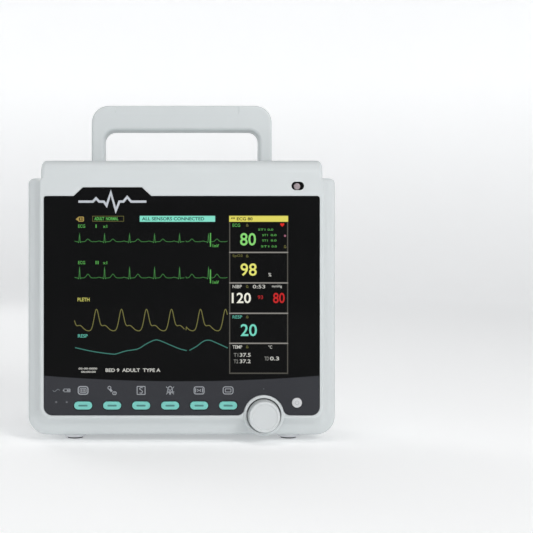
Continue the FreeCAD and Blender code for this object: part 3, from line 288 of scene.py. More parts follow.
def slot_materials():
    """One material for each material slot of the record."""
    return {
        "housing_plastic": plastic("housing_plastic", linear(205, 210, 211), 0.44),
        "foot_plastic": plastic("foot_plastic", linear(232, 233, 236), 0.5),
        "foot_rubber": rubber("foot_rubber", linear(38, 38, 40)),
        "window_acrylic": window_material(),
        # Keys and power button: caps in their own colour, with painted shade in near black behind the cap
        # depth.
        "key_plastic": plastic_over_painted_shade("key_plastic", linear(116, 196, 186), PAINTED_SHADE_DEPTH, 0.36, 0.12),
        "button_plastic": plastic_over_painted_shade("button_plastic", linear(204, 205, 207), PAINTED_SHADE_DEPTH, 0.3, 0.08),
        "knob_plastic": plastic("knob_plastic", linear(207, 211, 212), 0.38, grain=3000.0, bump=0.15),
        "light_lens": lens_material("light_lens", linear(150, 138, 142)),
        "circuit_board": board_material(),
        "silicone": rubber("silicone", linear(180, 182, 184), 0.6),
        "dark_plastic": plastic("dark_plastic", linear(38, 39, 42), 0.5, grain=1500.0, bump=0.4),
        "steel": metal("steel", (0.56, 0.57, 0.58, 1.0), 0.32, stretch=(1.0, 8.0, 1.0)),
        "brass": metal("brass", (0.72, 0.52, 0.24, 1.0), 0.3, stretch=(1.0, 10.0, 1.0)),
        "display_glass": plastic("display_glass", linear(16, 16, 18), 0.1, grain=300.0, bump=0.02),
        "aluminium": metal("aluminium", (0.66, 0.67, 0.68, 1.0), 0.42, stretch=(1.0, 1.0, 6.0)),
        "speaker_cone": rubber("speaker_cone", linear(44, 44, 46), 0.7),
        "side_panel_plastic": plastic("side_panel_plastic", linear(150, 155, 160), 0.48),
        "ecg_green": plastic("ecg_green", linear(64, 128, 92), 0.42),
        "oxygen_blue": plastic("oxygen_blue", linear(60, 104, 170), 0.42),
        "socket_grey": plastic("socket_grey", linear(88, 90, 94), 0.45),
    }


# ---------------------------------------------------------------- carried-over nodes

SMOOTH_LIMIT = math.radians(30)
BEVEL_LIMIT = math.radians(32)
FLAT_LIMIT = math.radians(0.4)
WELD_REACH = 0.002


def smoothing_group():
    """Geometry nodes that shade smooth everywhere except across edges over SMOOTH_LIMIT."""
    group = bpy.data.node_groups.new("smooth_by_angle", "GeometryNodeTree")
    group.interface.new_socket("Geometry", in_out="INPUT", socket_type="NodeSocketGeometry")
    group.interface.new_socket("Geometry", in_out="OUTPUT", socket_type="NodeSocketGeometry")
    start = group.nodes.new("NodeGroupInput")
    end = group.nodes.new("NodeGroupOutput")
    angle = group.nodes.new("GeometryNodeInputMeshEdgeAngle")
    sharp = group.nodes.new("FunctionNodeCompare")
    sharp.data_type = "FLOAT"
    sharp.operation = "GREATER_THAN"
    sharp.inputs["B"].default_value = SMOOTH_LIMIT
    faces = group.nodes.new("GeometryNodeSetShadeSmooth")
    faces.domain = "FACE"
    edges = group.nodes.new("GeometryNodeSetShadeSmooth")
    edges.domain = "EDGE"
    edges.inputs["Shade Smooth"].default_value = False
    group.links.new(start.outputs[0], faces.inputs["Geometry"])
    group.links.new(faces.outputs["Geometry"], edges.inputs["Geometry"])
    group.links.new(angle.outputs["Unsigned Angle"], sharp.inputs["A"])
    group.links.new(sharp.outputs["Result"], edges.inputs["Selection"])
    group.links.new(edges.outputs["Geometry"], end.inputs[0])
    return group


SMOOTHING = smoothing_group()


def smooth(obj):
    modifier = obj.modifiers.new("smooth_by_angle", "NODES")
    modifier.node_group = SMOOTHING


def soften(obj, width, segments=2):
    """Join the facets of flat faces, round the sharp edges and shade the rest smooth."""
    weld = obj.modifiers.new("weld", "WELD")
    weld.merge_threshold = WELD_REACH * MM
    facets = obj.modifiers.new("facets", "DECIMATE")
    facets.decimate_type = "DISSOLVE"
    facets.angle_limit = FLAT_LIMIT
    bevel = obj.modifiers.new("edges", "BEVEL")
    bevel.width = width * MM
    bevel.segments = segments
    bevel.limit_method = "ANGLE"
    bevel.angle_limit = BEVEL_LIMIT
    bevel.use_clamp_overlap = True
    smooth(obj)
    flat = obj.modifiers.new("flat_faces", "WEIGHTED_NORMAL")
    flat.mode = "FACE_AREA"
    flat.weight = 100
    flat.keep_sharp = True


EDGE_OF = {"housing_plastic": 0.35, "foot_plastic": 0.3, "foot_rubber": 0.3, "window_acrylic": 0.12,
           "key_plastic": 0.2, "button_plastic": 0.3, "knob_plastic": 0.3}
OTHER_EDGE = 0.15


def finish_nodes():
    made = slot_materials()
    own = {"status_lights": lens_material("status_lens", linear(84, 86, 92))}
    for name, obj in NODES.items():
        obj.data.materials.clear()
        obj.data.materials.append(own.get(name, made[SLOT_OF[name]]))
        soften(obj, EDGE_OF.get(SLOT_OF[name], OTHER_EDGE))


# ---------------------------------------------------------------- drawing on the front

def placed(name, mesh, material):
    """A bmesh turned into an object of the scene, with one material."""
    data = bpy.data.meshes.new(name)
    mesh.to_mesh(data)
    mesh.free()
    data.materials.append(material)
    obj = bpy.data.objects.new(name, data)
    bpy.context.scene.collection.objects.link(obj)
    return obj


def unit_ring(count):
    turns = [math.tau * step / count for step in range(count)]
    return [(math.cos(turn), math.sin(turn)) for turn in turns]


def rounded(left, low, right, high, radius, steps=5):
    """Outline of a rectangle with round corners, anticlockwise."""
    points = []
    centres = ((right - radius, high - radius), (left + radius, high - radius),
               (left + radius, low + radius), (right - radius, low + radius))
    for quarter, (x, z) in enumerate(centres):
        for step in range(steps + 1):
            turn = math.pi / 2 * (quarter + step / steps)
            points.append((x + radius * math.cos(turn), z + radius * math.sin(turn)))
    return points


def curved(points, steps=6):
    """A smooth line through given points (Catmull-Rom)."""
    points = [Vector(point) for point in points]
    padded = [points[0] * 2 - points[1]] + points + [points[-1] * 2 - points[-2]]
    result = []
    for before, start, end, after in zip(padded, padded[1:], padded[2:], padded[3:]):
        for step in range(steps):
            part = step / steps
            result.append(0.5 * (2 * start + (end - before) * part
                                 + (2 * before - 5 * start + 4 * end - after) * part ** 2
                                 + (3 * start - before - 3 * end + after) * part ** 3))
    return result + [points[-1]]


class Layer:
    """A thin printed or lit layer on the window's front, drawn in millimetres, layer on layer."""

    def __init__(self, name, origin=(0.0, 0.0), height=0, front=WINDOW_FRONT, thick=PRINT_THICK):
        self.name = name
        self.origin = origin
        self.thick = thick
        self.back = front - PRINT_GAP - height * LAYER_STEP
        self.mesh = bmesh.new()

    def vertex(self, x, z, depth):
        return self.mesh.verts.new(((self.origin[0] + x) * MM, (self.back - depth) * MM,
                                    (self.origin[1] + z) * MM))

    def area(self, points):
        """A filled closed outline, given anticlockwise."""
        front = [self.vertex(x, z, self.thick) for x, z in points]
        back = [self.vertex(x, z, 0.0) for x, z in points]
        self.mesh.faces.new(front)
        self.mesh.faces.new(back[::-1])
        for here in range(len(points)):
            after = (here + 1) % len(points)
            self.mesh.faces.new((front[here], back[here], back[after], front[after]))

    def block(self, left, low, right, high):
        self.area([(left, low), (right, low), (right, high), (left, high)])

    def dot(self, x, z, radius, count=20):
        self.area([(x + radius * a, z + radius * b) for a, b in unit_ring(count)])

    def band(self, outer, inner):
        """The area between two closed outlines with equal numbers of points."""
        rings = [[self.vertex(x, z, depth) for x, z in outline]
                 for outline, depth in ((outer, self.thick), (inner, self.thick), (inner, 0.0), (outer, 0.0))]
        count = len(outer)
        for ring, following in zip(rings, rings[1:] + rings[:1]):
            for here in range(count):
                after = (here + 1) % count
                self.mesh.faces.new((ring[here], ring[after], following[after], following[here]))

    def frame(self, left, low, right, high, radius, stroke):
        inner_radius = max(0.05, radius - stroke)
        self.band(rounded(left, low, right, high, max(radius, 0.1)),
                  rounded(left + stroke, low + stroke, right - stroke, high - stroke, inner_radius))

    def ring(self, x, z, radius, stroke, count=24):
        self.band([(x + radius * a, z + radius * b) for a, b in unit_ring(count)],
                  [(x + (radius - stroke) * a, z + (radius - stroke) * b) for a, b in unit_ring(count)])

    def line(self, points, stroke):
        """An open line of even width with mitred corners."""
        points = [Vector(point) for point in points]
        left, right = [], []
        for place, point in enumerate(points):
            before = (point - points[place - 1]).normalized() if place else None
            ahead = (points[place + 1] - point).normalized() if place + 1 < len(points) else None
            before, ahead = before or ahead, ahead or before
            bisector = (before + ahead).normalized()
            across = Vector((-bisector.y, bisector.x))
            stretch = 1 / max(0.35, bisector.dot(ahead))
            left.append(point + across * stroke / 2 * stretch)
            right.append(point - across * stroke / 2 * stretch)
        sides = [[self.vertex(point.x, point.y, depth) for point in side]
                 for side, depth in ((right, self.thick), (left, self.thick), (left, 0.0), (right, 0.0))]
        for side, following in zip(sides, sides[1:] + sides[:1]):
            for here in range(len(points) - 1):
                self.mesh.faces.new((side[here], side[here + 1], following[here + 1], following[here]))
        self.mesh.faces.new([side[0] for side in sides])
        self.mesh.faces.new([side[-1] for side in reversed(sides)])

    def text(self, words, left, low, right, high, boldness=0.0):
        """Lettering that fills the given box."""
        curve = bpy.data.curves.new("lettering", "FONT")
        curve.body = words
        curve.offset = boldness
        curve.extrude = 0.5
        curve.resolution_u = 3
        holder = bpy.data.objects.new("lettering", curve)
        bpy.context.scene.collection.objects.link(holder)
        shape = bpy.data.meshes.new_from_object(
            holder.evaluated_get(bpy.context.evaluated_depsgraph_get()))
        xs = [vertex.co.x for vertex in shape.vertices]
        ys = [vertex.co.y for vertex in shape.vertices]
        wide = (right - left) / (max(xs) - min(xs))
        tall = (high - low) / (max(ys) - min(ys))
        for vertex in shape.vertices:
            x = left + (vertex.co.x - min(xs)) * wide
            z = low + (vertex.co.y - min(ys)) * tall
            depth = (vertex.co.z + 0.5) * self.thick
            vertex.co = ((self.origin[0] + x) * MM, (self.back - depth) * MM, (self.origin[1] + z) * MM)
        self.mesh.from_mesh(shape)
        bpy.data.objects.remove(holder)
        bpy.data.curves.remove(curve)
        bpy.data.meshes.remove(shape)

    def done(self, material, body="monitor"):
        """Turn the drawing into a piece that rides on the body."""
        bmesh.ops.remove_doubles(self.mesh, verts=self.mesh.verts, dist=0.001 * MM)
        bmesh.ops.recalc_face_normals(self.mesh, faces=self.mesh.faces)
        piece = placed(self.name, self.mesh, material)
        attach(piece, body)


SCREEN = (SCREEN_LEFT, SCREEN_FOOT)


# ---------------------------------------------------------------- display: waves

BEAT = 25.0
TRACE_START = -1.2
TRACE_END = 151.6
SWEEP_GAP = (108.6, 110.2)
RESUMED_SHIFT = 4.0


def bump(place, centre, width, height):
    return height * math.exp(-((place - centre) / width) ** 2)


def heartbeat(place, peak, wave):
    """Height of the heart trace; place 0 is the sharp peak."""
    return (bump(place, -5.5, 1.6, 0.7) + bump(place, -1.0, 0.45, -1.0) + bump(place, 0.0, 0.42, peak)
            + bump(place, 0.95, 0.4, -0.9) + bump(place, 8.4, 2.1, wave))


def pulse(place):
    """Height of the pulse trace, 0 to 1; place 0 is its highest point."""
    return bump(place, 0.0, 3.3, 1.0) + bump(place, 8.2, 4.6, 0.26)


def repeated(shape, place, first):
    """The value of a repeating shape whose first zero is at first."""
    if place > SWEEP_GAP[1]:
        first += RESUMED_SHIFT
    return sum(shape(place - first - BEAT * turn) for turn in range(-1, 8))


def sweep(layer, height_at, stroke, step):
    """One trace in two runs, with the gap where the display is being redrawn."""
    for start, end in ((TRACE_START, SWEEP_GAP[0]), (SWEEP_GAP[1], TRACE_END)):
        count = int((end - start) / step)
        places = [start + (end - start) * number / count for number in range(count + 1)]
        layer.line([(place, height_at(place)) for place in places], stroke)


def waves(glows):
    """The four traces, with the calibration marks beside the heart traces."""
    heart = Layer("heart_traces", SCREEN)
    for base, peak, wave, mark in ((131.5, 8.2, 2.7, (126.5, 140.2)), (95.3, 11.2, 3.8, (89.9, 103.6))):
        sweep(heart, lambda place: base + repeated(
            lambda at: heartbeat(at, peak, wave), place, 3.8), 0.55, 0.25)
    heart.done(glows["dim_green"])

    marks = Layer("calibration_marks", SCREEN, height=1)
    for low, high in ((126.5, 140.2), (90.0, 103.6)):
        marks.block(134.2, low, 135.3, high)
        marks.text("1mV", 136.9, low - 0.6, 143.2, low + 2.6, 0.02)
    marks.done(glows["green"])

    finger = Layer("pulse_trace", SCREEN)
    sweep(finger, lambda place: 42.2 + 21.5 * repeated(pulse, place, 20.7), 0.75, 0.4)
    finger.done(glows["dim_yellow"])

    breath = Layer("breathing_trace", SCREEN)
    first = ((-0.7, 25.6), (18.0, 21.6), (36.0, 19.2), (41.0, 19.5), (50.0, 22.2), (62.0, 24.3), (70.0, 29.0),
             (78.0, 32.8), (83.5, 32.8), (95.0, 28.0), (104.0, 24.4), (111.0, 22.6))
    second = ((113.6, 22.8), (121.0, 27.0), (127.5, 31.8), (133.5, 33.0), (141.0, 30.2), (152.0, 25.2))
    for route in (first, second):
        breath.line(curved(route), 0.95)
    breath.done(glows["dim_teal"])


# ---------------------------------------------------------------- display: words and numbers

COLUMN_LEFT = 153.4
COLUMN_RIGHT = 212.4
ROWS = (151.6, 120.8, 90.3, 59.9, 29.9, 0.0)
LABEL_LEFT = COLUMN_LEFT + 3.4
LABEL_DROP = 5.3
LABEL_TALL = 3.3


def number_boxes(glows):
    """The column of boxes that hold the numbers."""
    lines = Layer("box_lines", SCREEN)
    for row in ROWS[1:-1]:
        lines.block(COLUMN_LEFT, row - 0.65, COLUMN_RIGHT, row + 0.65)
    lines.done(glows["line_grey"])
    sides = Layer("box_sides", SCREEN)
    for upper, lower in zip(ROWS, ROWS[1:]):
        for place in (COLUMN_LEFT, COLUMN_RIGHT - 1.1):
            sides.block(place, lower + 0.7, place + 1.1, upper - 0.7)
    sides.block(COLUMN_LEFT, ROWS[-1] - 0.7, COLUMN_RIGHT, ROWS[-1] + 0.6)
    sides.done(glows["side_grey"])


def labels(glows):
    """Short names of what is measured, in the corner of each box and over each trace."""
    words = {
        "ecg": ("green", [("ECG", LABEL_LEFT, ROWS[0], 7.6)]),
        "oxygen": ("olive", [("SpO2", LABEL_LEFT, ROWS[1], 10.2)]),
        "pressure": ("white", [("NIBP", LABEL_LEFT, ROWS[2], 9.2), ("mmHg", 196.2, ROWS[2], 10.0)]),
        "breathing": ("teal", [("RESP", LABEL_LEFT, ROWS[3], 9.6)]),
        "temperature": ("white", [("TEMP", LABEL_LEFT, ROWS[4], 9.6), ("°C", 192.6, ROWS[4], 3.8)]),
    }
    for name, (colour, entries) in words.items():
        layer = Layer(f"label_{name}", SCREEN)
        for entry, left, row, wide in entries:
            foot = row - LABEL_DROP
            layer.text(entry, left, foot, left + wide, foot + LABEL_TALL, 0.01)
        layer.done(glows[colour])

    traces = Layer("heart_trace_labels", SCREEN)
    for foot, lead, lead_wide in ((145.4, "I", 1.0), (109.0, "II", 3.0)):
        traces.text("ECG", 2.4, foot, 9.4, foot + 3.3, 0.01)
        traces.text(lead, 19.8, foot, 19.8 + lead_wide, foot + 3.3, 0.01)
        traces.text("x1", 27.2, foot, 31.4, foot + 3.0, 0.01)
    traces.done(glows["green"])
    layer = Layer("pulse_trace_label", SCREEN)
    layer.text("PLETH", 1.8, 71.9, 13.8, 75.5, 0.02)
    layer.done(glows["yellow"])
    layer = Layer("breathing_trace_label", SCREEN)
    layer.text("RESP", 2.1, 35.6, 12.0, 39.0, 0.02)
    layer.done(glows["teal"])


def numbers(glows):
    """The measured values."""
    entries = (
        ("heart_rate", "80", 164.3, 127.6, 180.2, 140.3, "bright_green", 0.012),
        ("oxygen_value", "98", 164.7, 97.3, 181.0, 109.9, "bright_yellow", 0.012),
        ("upper_pressure", "120", 156.0, 70.0, 175.2, 80.5, "white_hot", 0.015),
        ("middle_pressure", "93", 182.0, 74.0, 187.3, 77.9, "dim_red", 0.02),
        ("lower_pressure", "80", 197.3, 70.0, 209.0, 80.5, "red", 0.015),
        ("breathing_rate", "20", 164.9, 37.0, 181.2, 49.2, "bright_teal", 0.012),
    )
    for name, words, left, low, right, high, colour, boldness in entries:
        layer = Layer(name, SCREEN)
        layer.text(words, left, low, right, high, boldness)
        layer.done(glows[colour])

    small = Layer("temperatures", SCREEN)
    for foot, words in ((16.4, "37.5"), (10.0, "37.2")):
        small.text(words, 164.0, foot, 174.9, foot + 3.8, 0.015)
    small.text("0.3", 194.2, 12.8, 203.3, 16.6, 0.015)
    small.text("0:53", 177.0, 84.8, 189.4, 88.4, 0.01)
    small.text("%", 192.6, 96.6, 195.6, 100.4, 0.01)
    small.done(glows["white"])
    names = Layer("temperature_names", SCREEN)
    for foot, words, left in ((16.4, "T1", 158.0), (10.0, "T2", 158.0), (12.8, "TD", 188.7)):
        names.text(words, left, foot, left + 4.4, foot + 3.7, 0.0)
    names.done(glows["grey"])

    limits = Layer("heart_details", SCREEN)
    rows = ((182.4, 189.6, 191.8, 197.5, 142.6), (186.5, 192.0, 195.0, 200.8, 137.1),
            (186.5, 192.0, 195.0, 200.8, 131.7), (185.2, 193.4, 195.8, 201.0, 125.8))
    for first_left, first_right, second_left, second_right, foot in rows:
        limits.text("ST1", first_left, foot, first_right, foot + 2.0, 0.01)
        limits.text("0.0", second_left, foot, second_right, foot + 2.0, 0.01)
    limits.done(glows["green"])


def heart_shape(x, z, size):
    """Outline of a heart, from its well-known formula."""
    points = []
    for step in range(28):
        turn = math.tau * step / 28
        across = 16 * math.sin(turn) ** 3
        up = 13 * math.cos(turn) - 5 * math.cos(2 * turn) - 2 * math.cos(3 * turn) - math.cos(4 * turn)
        points.append((x - across * size / 32, z + up * size / 32))
    return points


def small_signs(glows):
    """Heart sign, lamp dots, and the little alarm bells beside the labels."""
    heart = Layer("heart_sign", SCREEN)
    heart.area(heart_shape(206.5, 148.5, 4.2))
    heart.done(glows["red_hot"])
    dot = Layer("pace_dot", SCREEN)
    dot.dot(209.3, 137.4, 1.1)
    dot.done(glows["pink"])
    bells = Layer("bell_signs", SCREEN)
    for row in ROWS[:-1]:
        bell(bells, LABEL_LEFT + 14.6, row - LABEL_DROP + 1.7, 0.42)
    bell(bells, 209.3, 126.6, 0.45)
    bells.done(glows["olive"])


def status_line(glows):
    """Battery sign, green and aqua message fields, and the yellow alarm field."""
    signs = Layer("battery_sign", SCREEN)
    signs.frame(2.2, 151.6, 8.2, 156.6, 1.2, 0.9)
    signs.area([(0.0, 154.1), (2.2, 152.4), (2.2, 155.8)])
    for left in (4.2, 5.8):
        signs.block(left, 153.0, left + 0.9, 155.2)
    signs.done(glows["amber"])

    field = Layer("patient_field", SCREEN)
    field.frame(16.6, 151.7, 48.2, 157.3, 0.2, 0.5)
    field.done(glows["olive"])
    words = Layer("patient_words", SCREEN)
    words.text("ADULT  NORMAL", 18.6, 152.9, 42.6, 156.2, 0.03)
    words.done(glows["green"])

    bars = (("message_field", 64.0, 139.4, "aqua"), ("alarm_field", COLUMN_LEFT, COLUMN_RIGHT, "yellow_bar"))
    for name, left, right, colour in bars:
        layer = Layer(name, SCREEN)
        layer.block(left, 151.4, right, 157.4)
        layer.done(glows[colour])
    dark = Layer("message_words", SCREEN, height=1)
    dark.text("ALL SENSORS CONNECTED", 66.2, 152.8, 128.5, 156.1, 0.02)
    dark.done(glows["dark_aqua"])
    dark = Layer("alarm_words", SCREEN, height=1)
    dark.text("** ECG 80", 155.2, 152.8, 176.8, 156.1, 0.02)
    dark.done(glows["dark_yellow"])

    foot = Layer("date_and_bed", SCREEN)
    foot.text("00-00-0000", 2.8, 3.7, 21.4, 5.6, 0.02)
    foot.text("00:00:00", 5.4, 0.4, 20.0, 2.3, 0.02)
    foot.text("BED 9  ADULT  TYPE A", 29.8, 1.2, 84.6, 4.8, 0.02)
    foot.done(glows["white"])


def screen_glows():
    return {
        "green": glow("lit_green", linear(92, 178, 84)),
        "dim_green": glow("lit_dim_green", linear(66, 132, 66)),
        "bright_green": glow("lit_bright_green", linear(138, 218, 118)),
        "yellow": glow("lit_yellow", linear(196, 194, 100)),
        "dim_yellow": glow("lit_dim_yellow", linear(122, 120, 66)),
        "bright_yellow": glow("lit_bright_yellow", linear(232, 230, 116)),
        "olive": glow("lit_olive", linear(104, 102, 54)),
        "amber": glow("lit_amber", linear(176, 152, 82)),
        "teal": glow("lit_teal", linear(92, 178, 160)),
        "dim_teal": glow("lit_dim_teal", linear(62, 124, 112)),
        "bright_teal": glow("lit_bright_teal", linear(118, 216, 194)),
        "white": glow("lit_white", linear(204, 204, 198)),
        "white_hot": glow("lit_white_hot", linear(240, 239, 226)),
        "grey": glow("lit_grey", linear(150, 150, 146)),
        "line_grey": glow("lit_line_grey", linear(142, 139, 134)),
        "side_grey": glow("lit_side_grey", linear(80, 78, 72)),
        "red": glow("lit_red", linear(198, 34, 34)),
        "dim_red": glow("lit_dim_red", linear(168, 34, 36)),
        "red_hot": glow("lit_red_hot", linear(224, 40, 30)),
        "pink": glow("lit_pink", linear(158, 98, 118)),
        "aqua": glow("lit_aqua", linear(134, 226, 204)),
        "yellow_bar": glow("lit_yellow_bar", linear(226, 218, 98)),
        "dark_aqua": glow("unlit_aqua", linear(34, 84, 74)),
        "dark_yellow": glow("unlit_yellow", linear(48, 46, 20)),
    }


# ---------------------------------------------------------------- printed marks

ICON_RISE = 15.1
LIGHT_INSET = 1.1
KNOB_DOT_RISE = 26.5
PULSE_SIGN_MIDDLE = (-108.2 - 30.5) / 2
PULSE_SIGN_DROP = 14.2


def bell(layer, x, z, scale):
    """A bell: its dome outline and its clapper dot."""
    dome = [(-2.6, -2.0), (-1.9, -1.2), (-1.7, 0.8), (-1.0, 2.2), (0.0, 2.7), (1.0, 2.2), (1.7, 0.8),
            (1.9, -1.2), (2.6, -2.0), (-2.6, -2.0)]
    layer.line([(x + a * scale, z + b * scale) for a, b in curved(dome, 3)], 0.75 * max(scale, 0.7))
    layer.dot(x, z - 3.1 * scale, 0.8 * scale)


def key_signs(printed):
    """One printed sign over each key."""
    places = [(centre.x, centre.z + ICON_RISE) for centre in KEY_MIDDLES]

    show = Layer("sign_display", places[0])
    show.frame(-5.4, -4.4, 5.4, 4.4, 2.8, 1.15)
    show.frame(-3.4, -2.4, 3.4, 2.4, 1.2, 0.7)
    for place in (-1.6, 0.0, 1.6):
        show.block(place - 0.45, -1.3, place + 0.45, 1.3)
    show.done(printed)

    cuff = Layer("sign_cuff", places[1])
    cuff.ring(-2.7, 2.6, 1.9, 0.8)
    cuff.line([(-2.0, 1.2), (-0.2, -1.2)], 2.2)
    cuff.frame(0.2, -4.5, 4.6, -0.9, 1.6, 0.8)
    cuff.line([(1.2, -1.2), (2.6, -2.7), (4.0, -1.3)], 0.6)
    cuff.done(printed)

    record = Layer("sign_record", places[2])
    record.frame(-4.4, -4.4, 4.4, 4.4, 0.7, 0.85)
    squiggle = [(1.6, 2.6), (-0.2, 2.9), (-1.5, 1.6), (0.2, 0.2), (1.4, -1.2), (0.4, -2.7), (-1.5, -2.4)]
    record.line(curved(squiggle), 0.8)
    record.done(printed)

    silence = Layer("sign_silence", places[3])
    bell(silence, 0.0, 0.6, 1.25)
    for side in (-1, 1):
        silence.line([(-3.9 * side, 3.7), (3.9 * side, -3.9)], 0.7)
    silence.done(printed)

    freeze = Layer("sign_freeze", places[4])
    freeze.frame(-5.4, -4.0, 5.4, 4.0, 2.2, 0.9)
    for side in (-1, 1):
        freeze.block(-3.5 * side - 0.45, -2.1, -3.5 * side + 0.45, 2.1)
        freeze.line([(-1.9 * side, 1.2), (-0.5 * side, 0.0), (-1.9 * side, -1.2)], 0.7)
    freeze.done(printed)

    menu = Layer("sign_menu", places[5])
    menu.frame(-5.4, -4.0, 5.4, 4.0, 2.6, 0.9)
    menu.frame(-3.2, -1.9, 3.2, 1.9, 0.7, 0.7)
    menu.done(printed)


def key_marks(marks):
    """A small printed bar in the middle of each key."""
    for number, centre in enumerate(KEY_MIDDLES, start=1):
        low, _ = corners(f"key_{number}")
        legend = Layer(f"key_{number}_mark", (centre.x, centre.z), front=low.y)
        legend.area(rounded(-4.6, -0.9, 4.6, 0.9, 0.85))
        legend.done(marks, f"key_{number}_body")


def other_marks(printed, silver):
    """Mains and battery signs, knob dot, power sign and the pulse sign in the window's tab."""
    lights_low, lights_high = corners("status_lights")
    faint = ink("printed_faint", linear(104, 107, 112))
    lights_left = lights_low.x + LIGHT_INSET
    lights_right = lights_high.x - LIGHT_INSET
    height = KEY_MIDDLES[0].z + ICON_RISE
    mains = Layer("sign_mains", (lights_left, height))
    mains.line([(x / 4, 1.1 * math.sin(x / 14 * math.pi)) for x in range(-14, 15)], 0.7)
    mains.done(faint)
    battery = Layer("sign_battery", (lights_right, height))
    battery.frame(-3.0, -1.7, 3.7, 1.7, 0.6, 0.55)
    battery.block(-3.8, -0.8, -3.1, 0.8)
    for place in (0.2, 1.7):
        battery.block(place, -0.9, place + 1.1, 0.9)
    battery.done(printed)
    knob = middle("knob")
    dot = Layer("knob_dot", (knob.x, knob.z + KNOB_DOT_RISE))
    dot.dot(0.0, 0.0, 0.45)
    dot.done(faint)

    tab = Layer("pulse_sign", (PULSE_SIGN_MIDDLE, WINDOW_HIGH.z - PULSE_SIGN_DROP))
    tab.line([(-34.0, 0.0), (-19.5, 0.0), (-16.4, 3.4), (-13.2, 0.0), (-8.6, 0.0), (-5.8, -4.0), (-1.6, 9.0),
              (3.4, -9.0), (7.0, 0.0), (11.0, 0.0), (14.8, 4.6), (18.8, 0.0), (34.0, 0.0)], 2.3)
    tab.done(silver)

    low, high = corners("power_button")
    centre = (low + high) / 2
    power = Layer("power_sign", (centre.x, centre.z), front=low.y)
    gap = 0.6
    arc = [(1.9 * math.sin(turn), 1.9 * math.cos(turn))
           for turn in (gap + (math.tau - 2 * gap) * step / 20 for step in range(21))]
    power.line(arc, 0.4)
    power.line([(0.0, 0.5), (0.0, 2.6)], 0.4)
    power.done(ink("power_ink", linear(150, 152, 156)), "power_button_body")


# ---------------------------------------------------------------- contacts inside the sockets

def blocks(name, places, material):
    """Small boxes, each from (lowest corner, highest corner) in millimetres, as one piece."""
    mesh = bmesh.new()
    for low, high in places:
        low, high = Vector(low), Vector(high)
        made = bmesh.ops.create_cube(mesh, size=1.0)
        bmesh.ops.scale(mesh, vec=(high - low) * MM, verts=made["verts"])
        bmesh.ops.translate(mesh, vec=(low + high) / 2 * MM, verts=made["verts"])
    piece = placed(name, mesh, material)
    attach(piece, "monitor")


def socket_contacts():
    """The sensor socket's tongue with its contacts, and the network port's contact springs."""
    gold = metal("gold_contacts", (0.83, 0.62, 0.24, 1.0), 0.25)
    tongue_plastic = plastic("tongue_plastic", linear(30, 31, 34), 0.45)
    centre = middle("oxygen_socket")
    outer_face = corners("oxygen_socket")[0].x
    tip = outer_face + 4.5
    root = outer_face + 12.1
    half_length, half_thick, contacts, pitch = 7.0, 0.9, 7, 1.9
    blocks("sensor_tongue", [((tip, centre.y - half_length, centre.z - half_thick),
                              (root, centre.y + half_length, centre.z + half_thick))], tongue_plastic)
    rows = [(number - (contacts - 1) / 2) * pitch for number in range(contacts)]
    blocks("sensor_contacts",
           [((tip + 0.4, centre.y + along - 0.5, centre.z + side * (half_thick + 0.1) - 0.08),
             (root - 0.2, centre.y + along + 0.5, centre.z + side * (half_thick + 0.1) + 0.08))
            for along in rows for side in (-1, 1)], gold)
    low, high = corners("network_port")
    middle_x = (low.x + high.x) / 2
    ceiling = high.z - 3.0
    springs, spacing = 8, 1.02
    blocks("network_contacts",
           [((middle_x + (number - (springs - 1) / 2) * spacing - 0.22, high.y - 13.0, ceiling - 1.1),
             (middle_x + (number - (springs - 1) / 2) * spacing + 0.22, high.y - 3.0, ceiling - 0.7))
            for number in range(springs)], gold)


# ---------------------------------------------------------------- stage, lights and camera

def turned_surface(name, profile, count, material):
    """A surface of revolution about the vertical, from (radius, height) points."""
    mesh = bmesh.new()
    rings = []
    for radius, height in profile:
        rings.append([mesh.verts.new((radius * a, radius * b, height)) for a, b in unit_ring(count)])
    mesh.faces.new(rings[0])
    for inner, outer in zip(rings, rings[1:]):
        for here in range(count):
            after = (here + 1) % count
            mesh.faces.new((inner[here], outer[here], outer[after], inner[after]))
    surface = placed(name, mesh, material)
    surface.data.shade_smooth()
    return surface


FLOOR_REACH = 3.4
SWEEP_RADIUS = 1.0
WALL_TOP = 2.6
PAPER_GLOW = (0.24, 0.42)


def stage():
    """A pale floor that curves up into a pale wall all round, lit from behind more higher up."""
    paper = Finish("paper_backdrop", 0.85, specular=0.1)
    paper.paint((0.88, 0.88, 0.88, 1.0), 0.01, 2.0)
    paper.surface(40.0, 0.02)
    paper.shader.inputs["Emission Color"].default_value = (0.97, 0.985, 1.0, 1.0)
    split = paper.nodes.new("ShaderNodeSeparateXYZ")
    paper.links.new(paper.place, split.inputs["Vector"])
    paper.links.new(paper.spread(split.outputs["Z"], *PAPER_GLOW), paper.shader.inputs["Emission Strength"])
    profile = [(0.5, 0.0), (FLOOR_REACH, 0.0)]
    for step in range(1, 13):
        turn = math.pi / 2 * step / 12
        profile.append((FLOOR_REACH + SWEEP_RADIUS * math.sin(turn), SWEEP_RADIUS * (1 - math.cos(turn))))
    profile.append((FLOOR_REACH + SWEEP_RADIUS, WALL_TOP))
    turned_surface("floor_and_backdrop", profile, 96, paper.material)


def area_light(name, place, size, power, colour, target):
    data = bpy.data.lights.new(name, "AREA")
    data.shape = "DISK"
    data.size = size
    data.energy = power
    data.color = colour
    light = bpy.data.objects.new(name, data)
    light.location = place
    light.rotation_euler = (Vector(target) - Vector(place)).to_track_quat("-Z", "Y").to_euler()
    bpy.context.scene.collection.objects.link(light)


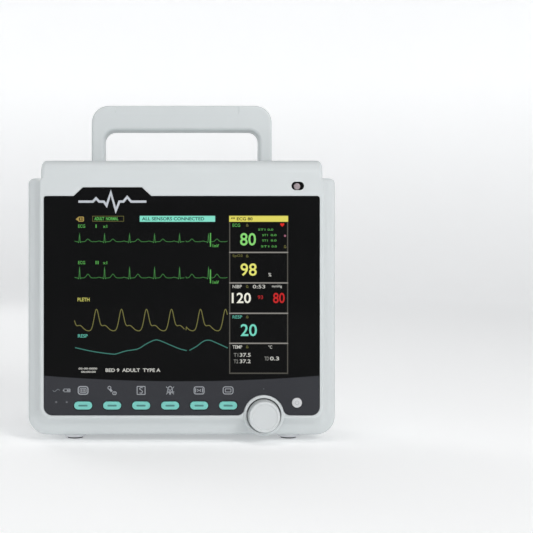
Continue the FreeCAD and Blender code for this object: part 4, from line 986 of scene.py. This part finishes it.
def lights():
    target = (0.0, 0.0, 0.17)
    area_light("key_light", (1.2, -2.1, 1.4), 0.9, 25.0, (1.0, 0.99, 0.98), target)
    area_light("top_light", (0.0, -0.5, 2.5), 1.4, 13.0, (1.0, 1.0, 1.0), target)
    area_light("left_fill", (-2.2, -1.6, 0.9), 1.2, 1.5, (1.0, 0.97, 1.0), target)
    area_light("back_light", (-1.6, 2.2, 1.5), 1.4, 14.0, (1.0, 1.0, 1.0), target)
    world = bpy.data.worlds.new("studio")
    world.use_nodes = True
    background = world.node_tree.nodes["Background"]
    background.inputs["Color"].default_value = (0.97, 0.985, 1.0, 1.0)
    background.inputs["Strength"].default_value = 0.16
    bpy.context.scene.world = world


CAMERA_DISTANCE = 1.15
CAMERA_HEIGHT = 0.1915
FRAME_WIDTH = 0.533
SENSOR = 36.0
LEFTWARD = 0.159
LOWERED = -0.027


def camera():
    """A level camera in front of the middle, with the monitor left of the frame's middle."""
    data = bpy.data.cameras.new("camera")
    data.sensor_width = SENSOR
    data.lens = SENSOR * CAMERA_DISTANCE / FRAME_WIDTH
    data.shift_x = LEFTWARD
    data.shift_y = LOWERED
    viewer = bpy.data.objects.new("camera", data)
    viewer.location = (0.0, WINDOW_FRONT * MM - CAMERA_DISTANCE, CAMERA_HEIGHT)
    viewer.rotation_euler = (math.pi / 2, 0.0, 0.0)
    bpy.context.scene.collection.objects.link(viewer)
    bpy.context.scene.camera = viewer
    bpy.context.scene.view_settings.view_transform = "Standard"
    bpy.context.scene.view_settings.look = "None"


# ---------------------------------------------------------------- everything in order

camera()
stage()
lights()
finish_nodes()
GLOWS = screen_glows()
waves(GLOWS)
number_boxes(GLOWS)
labels(GLOWS)
numbers(GLOWS)
small_signs(GLOWS)
status_line(GLOWS)
PRINTED = ink("printed_grey", linear(152, 155, 160))
key_signs(PRINTED)
key_marks(ink("key_ink", linear(78, 128, 124)))
other_marks(PRINTED, metal("silver_print", linear(196, 200, 206), 0.4, grain=500.0))
socket_contacts()
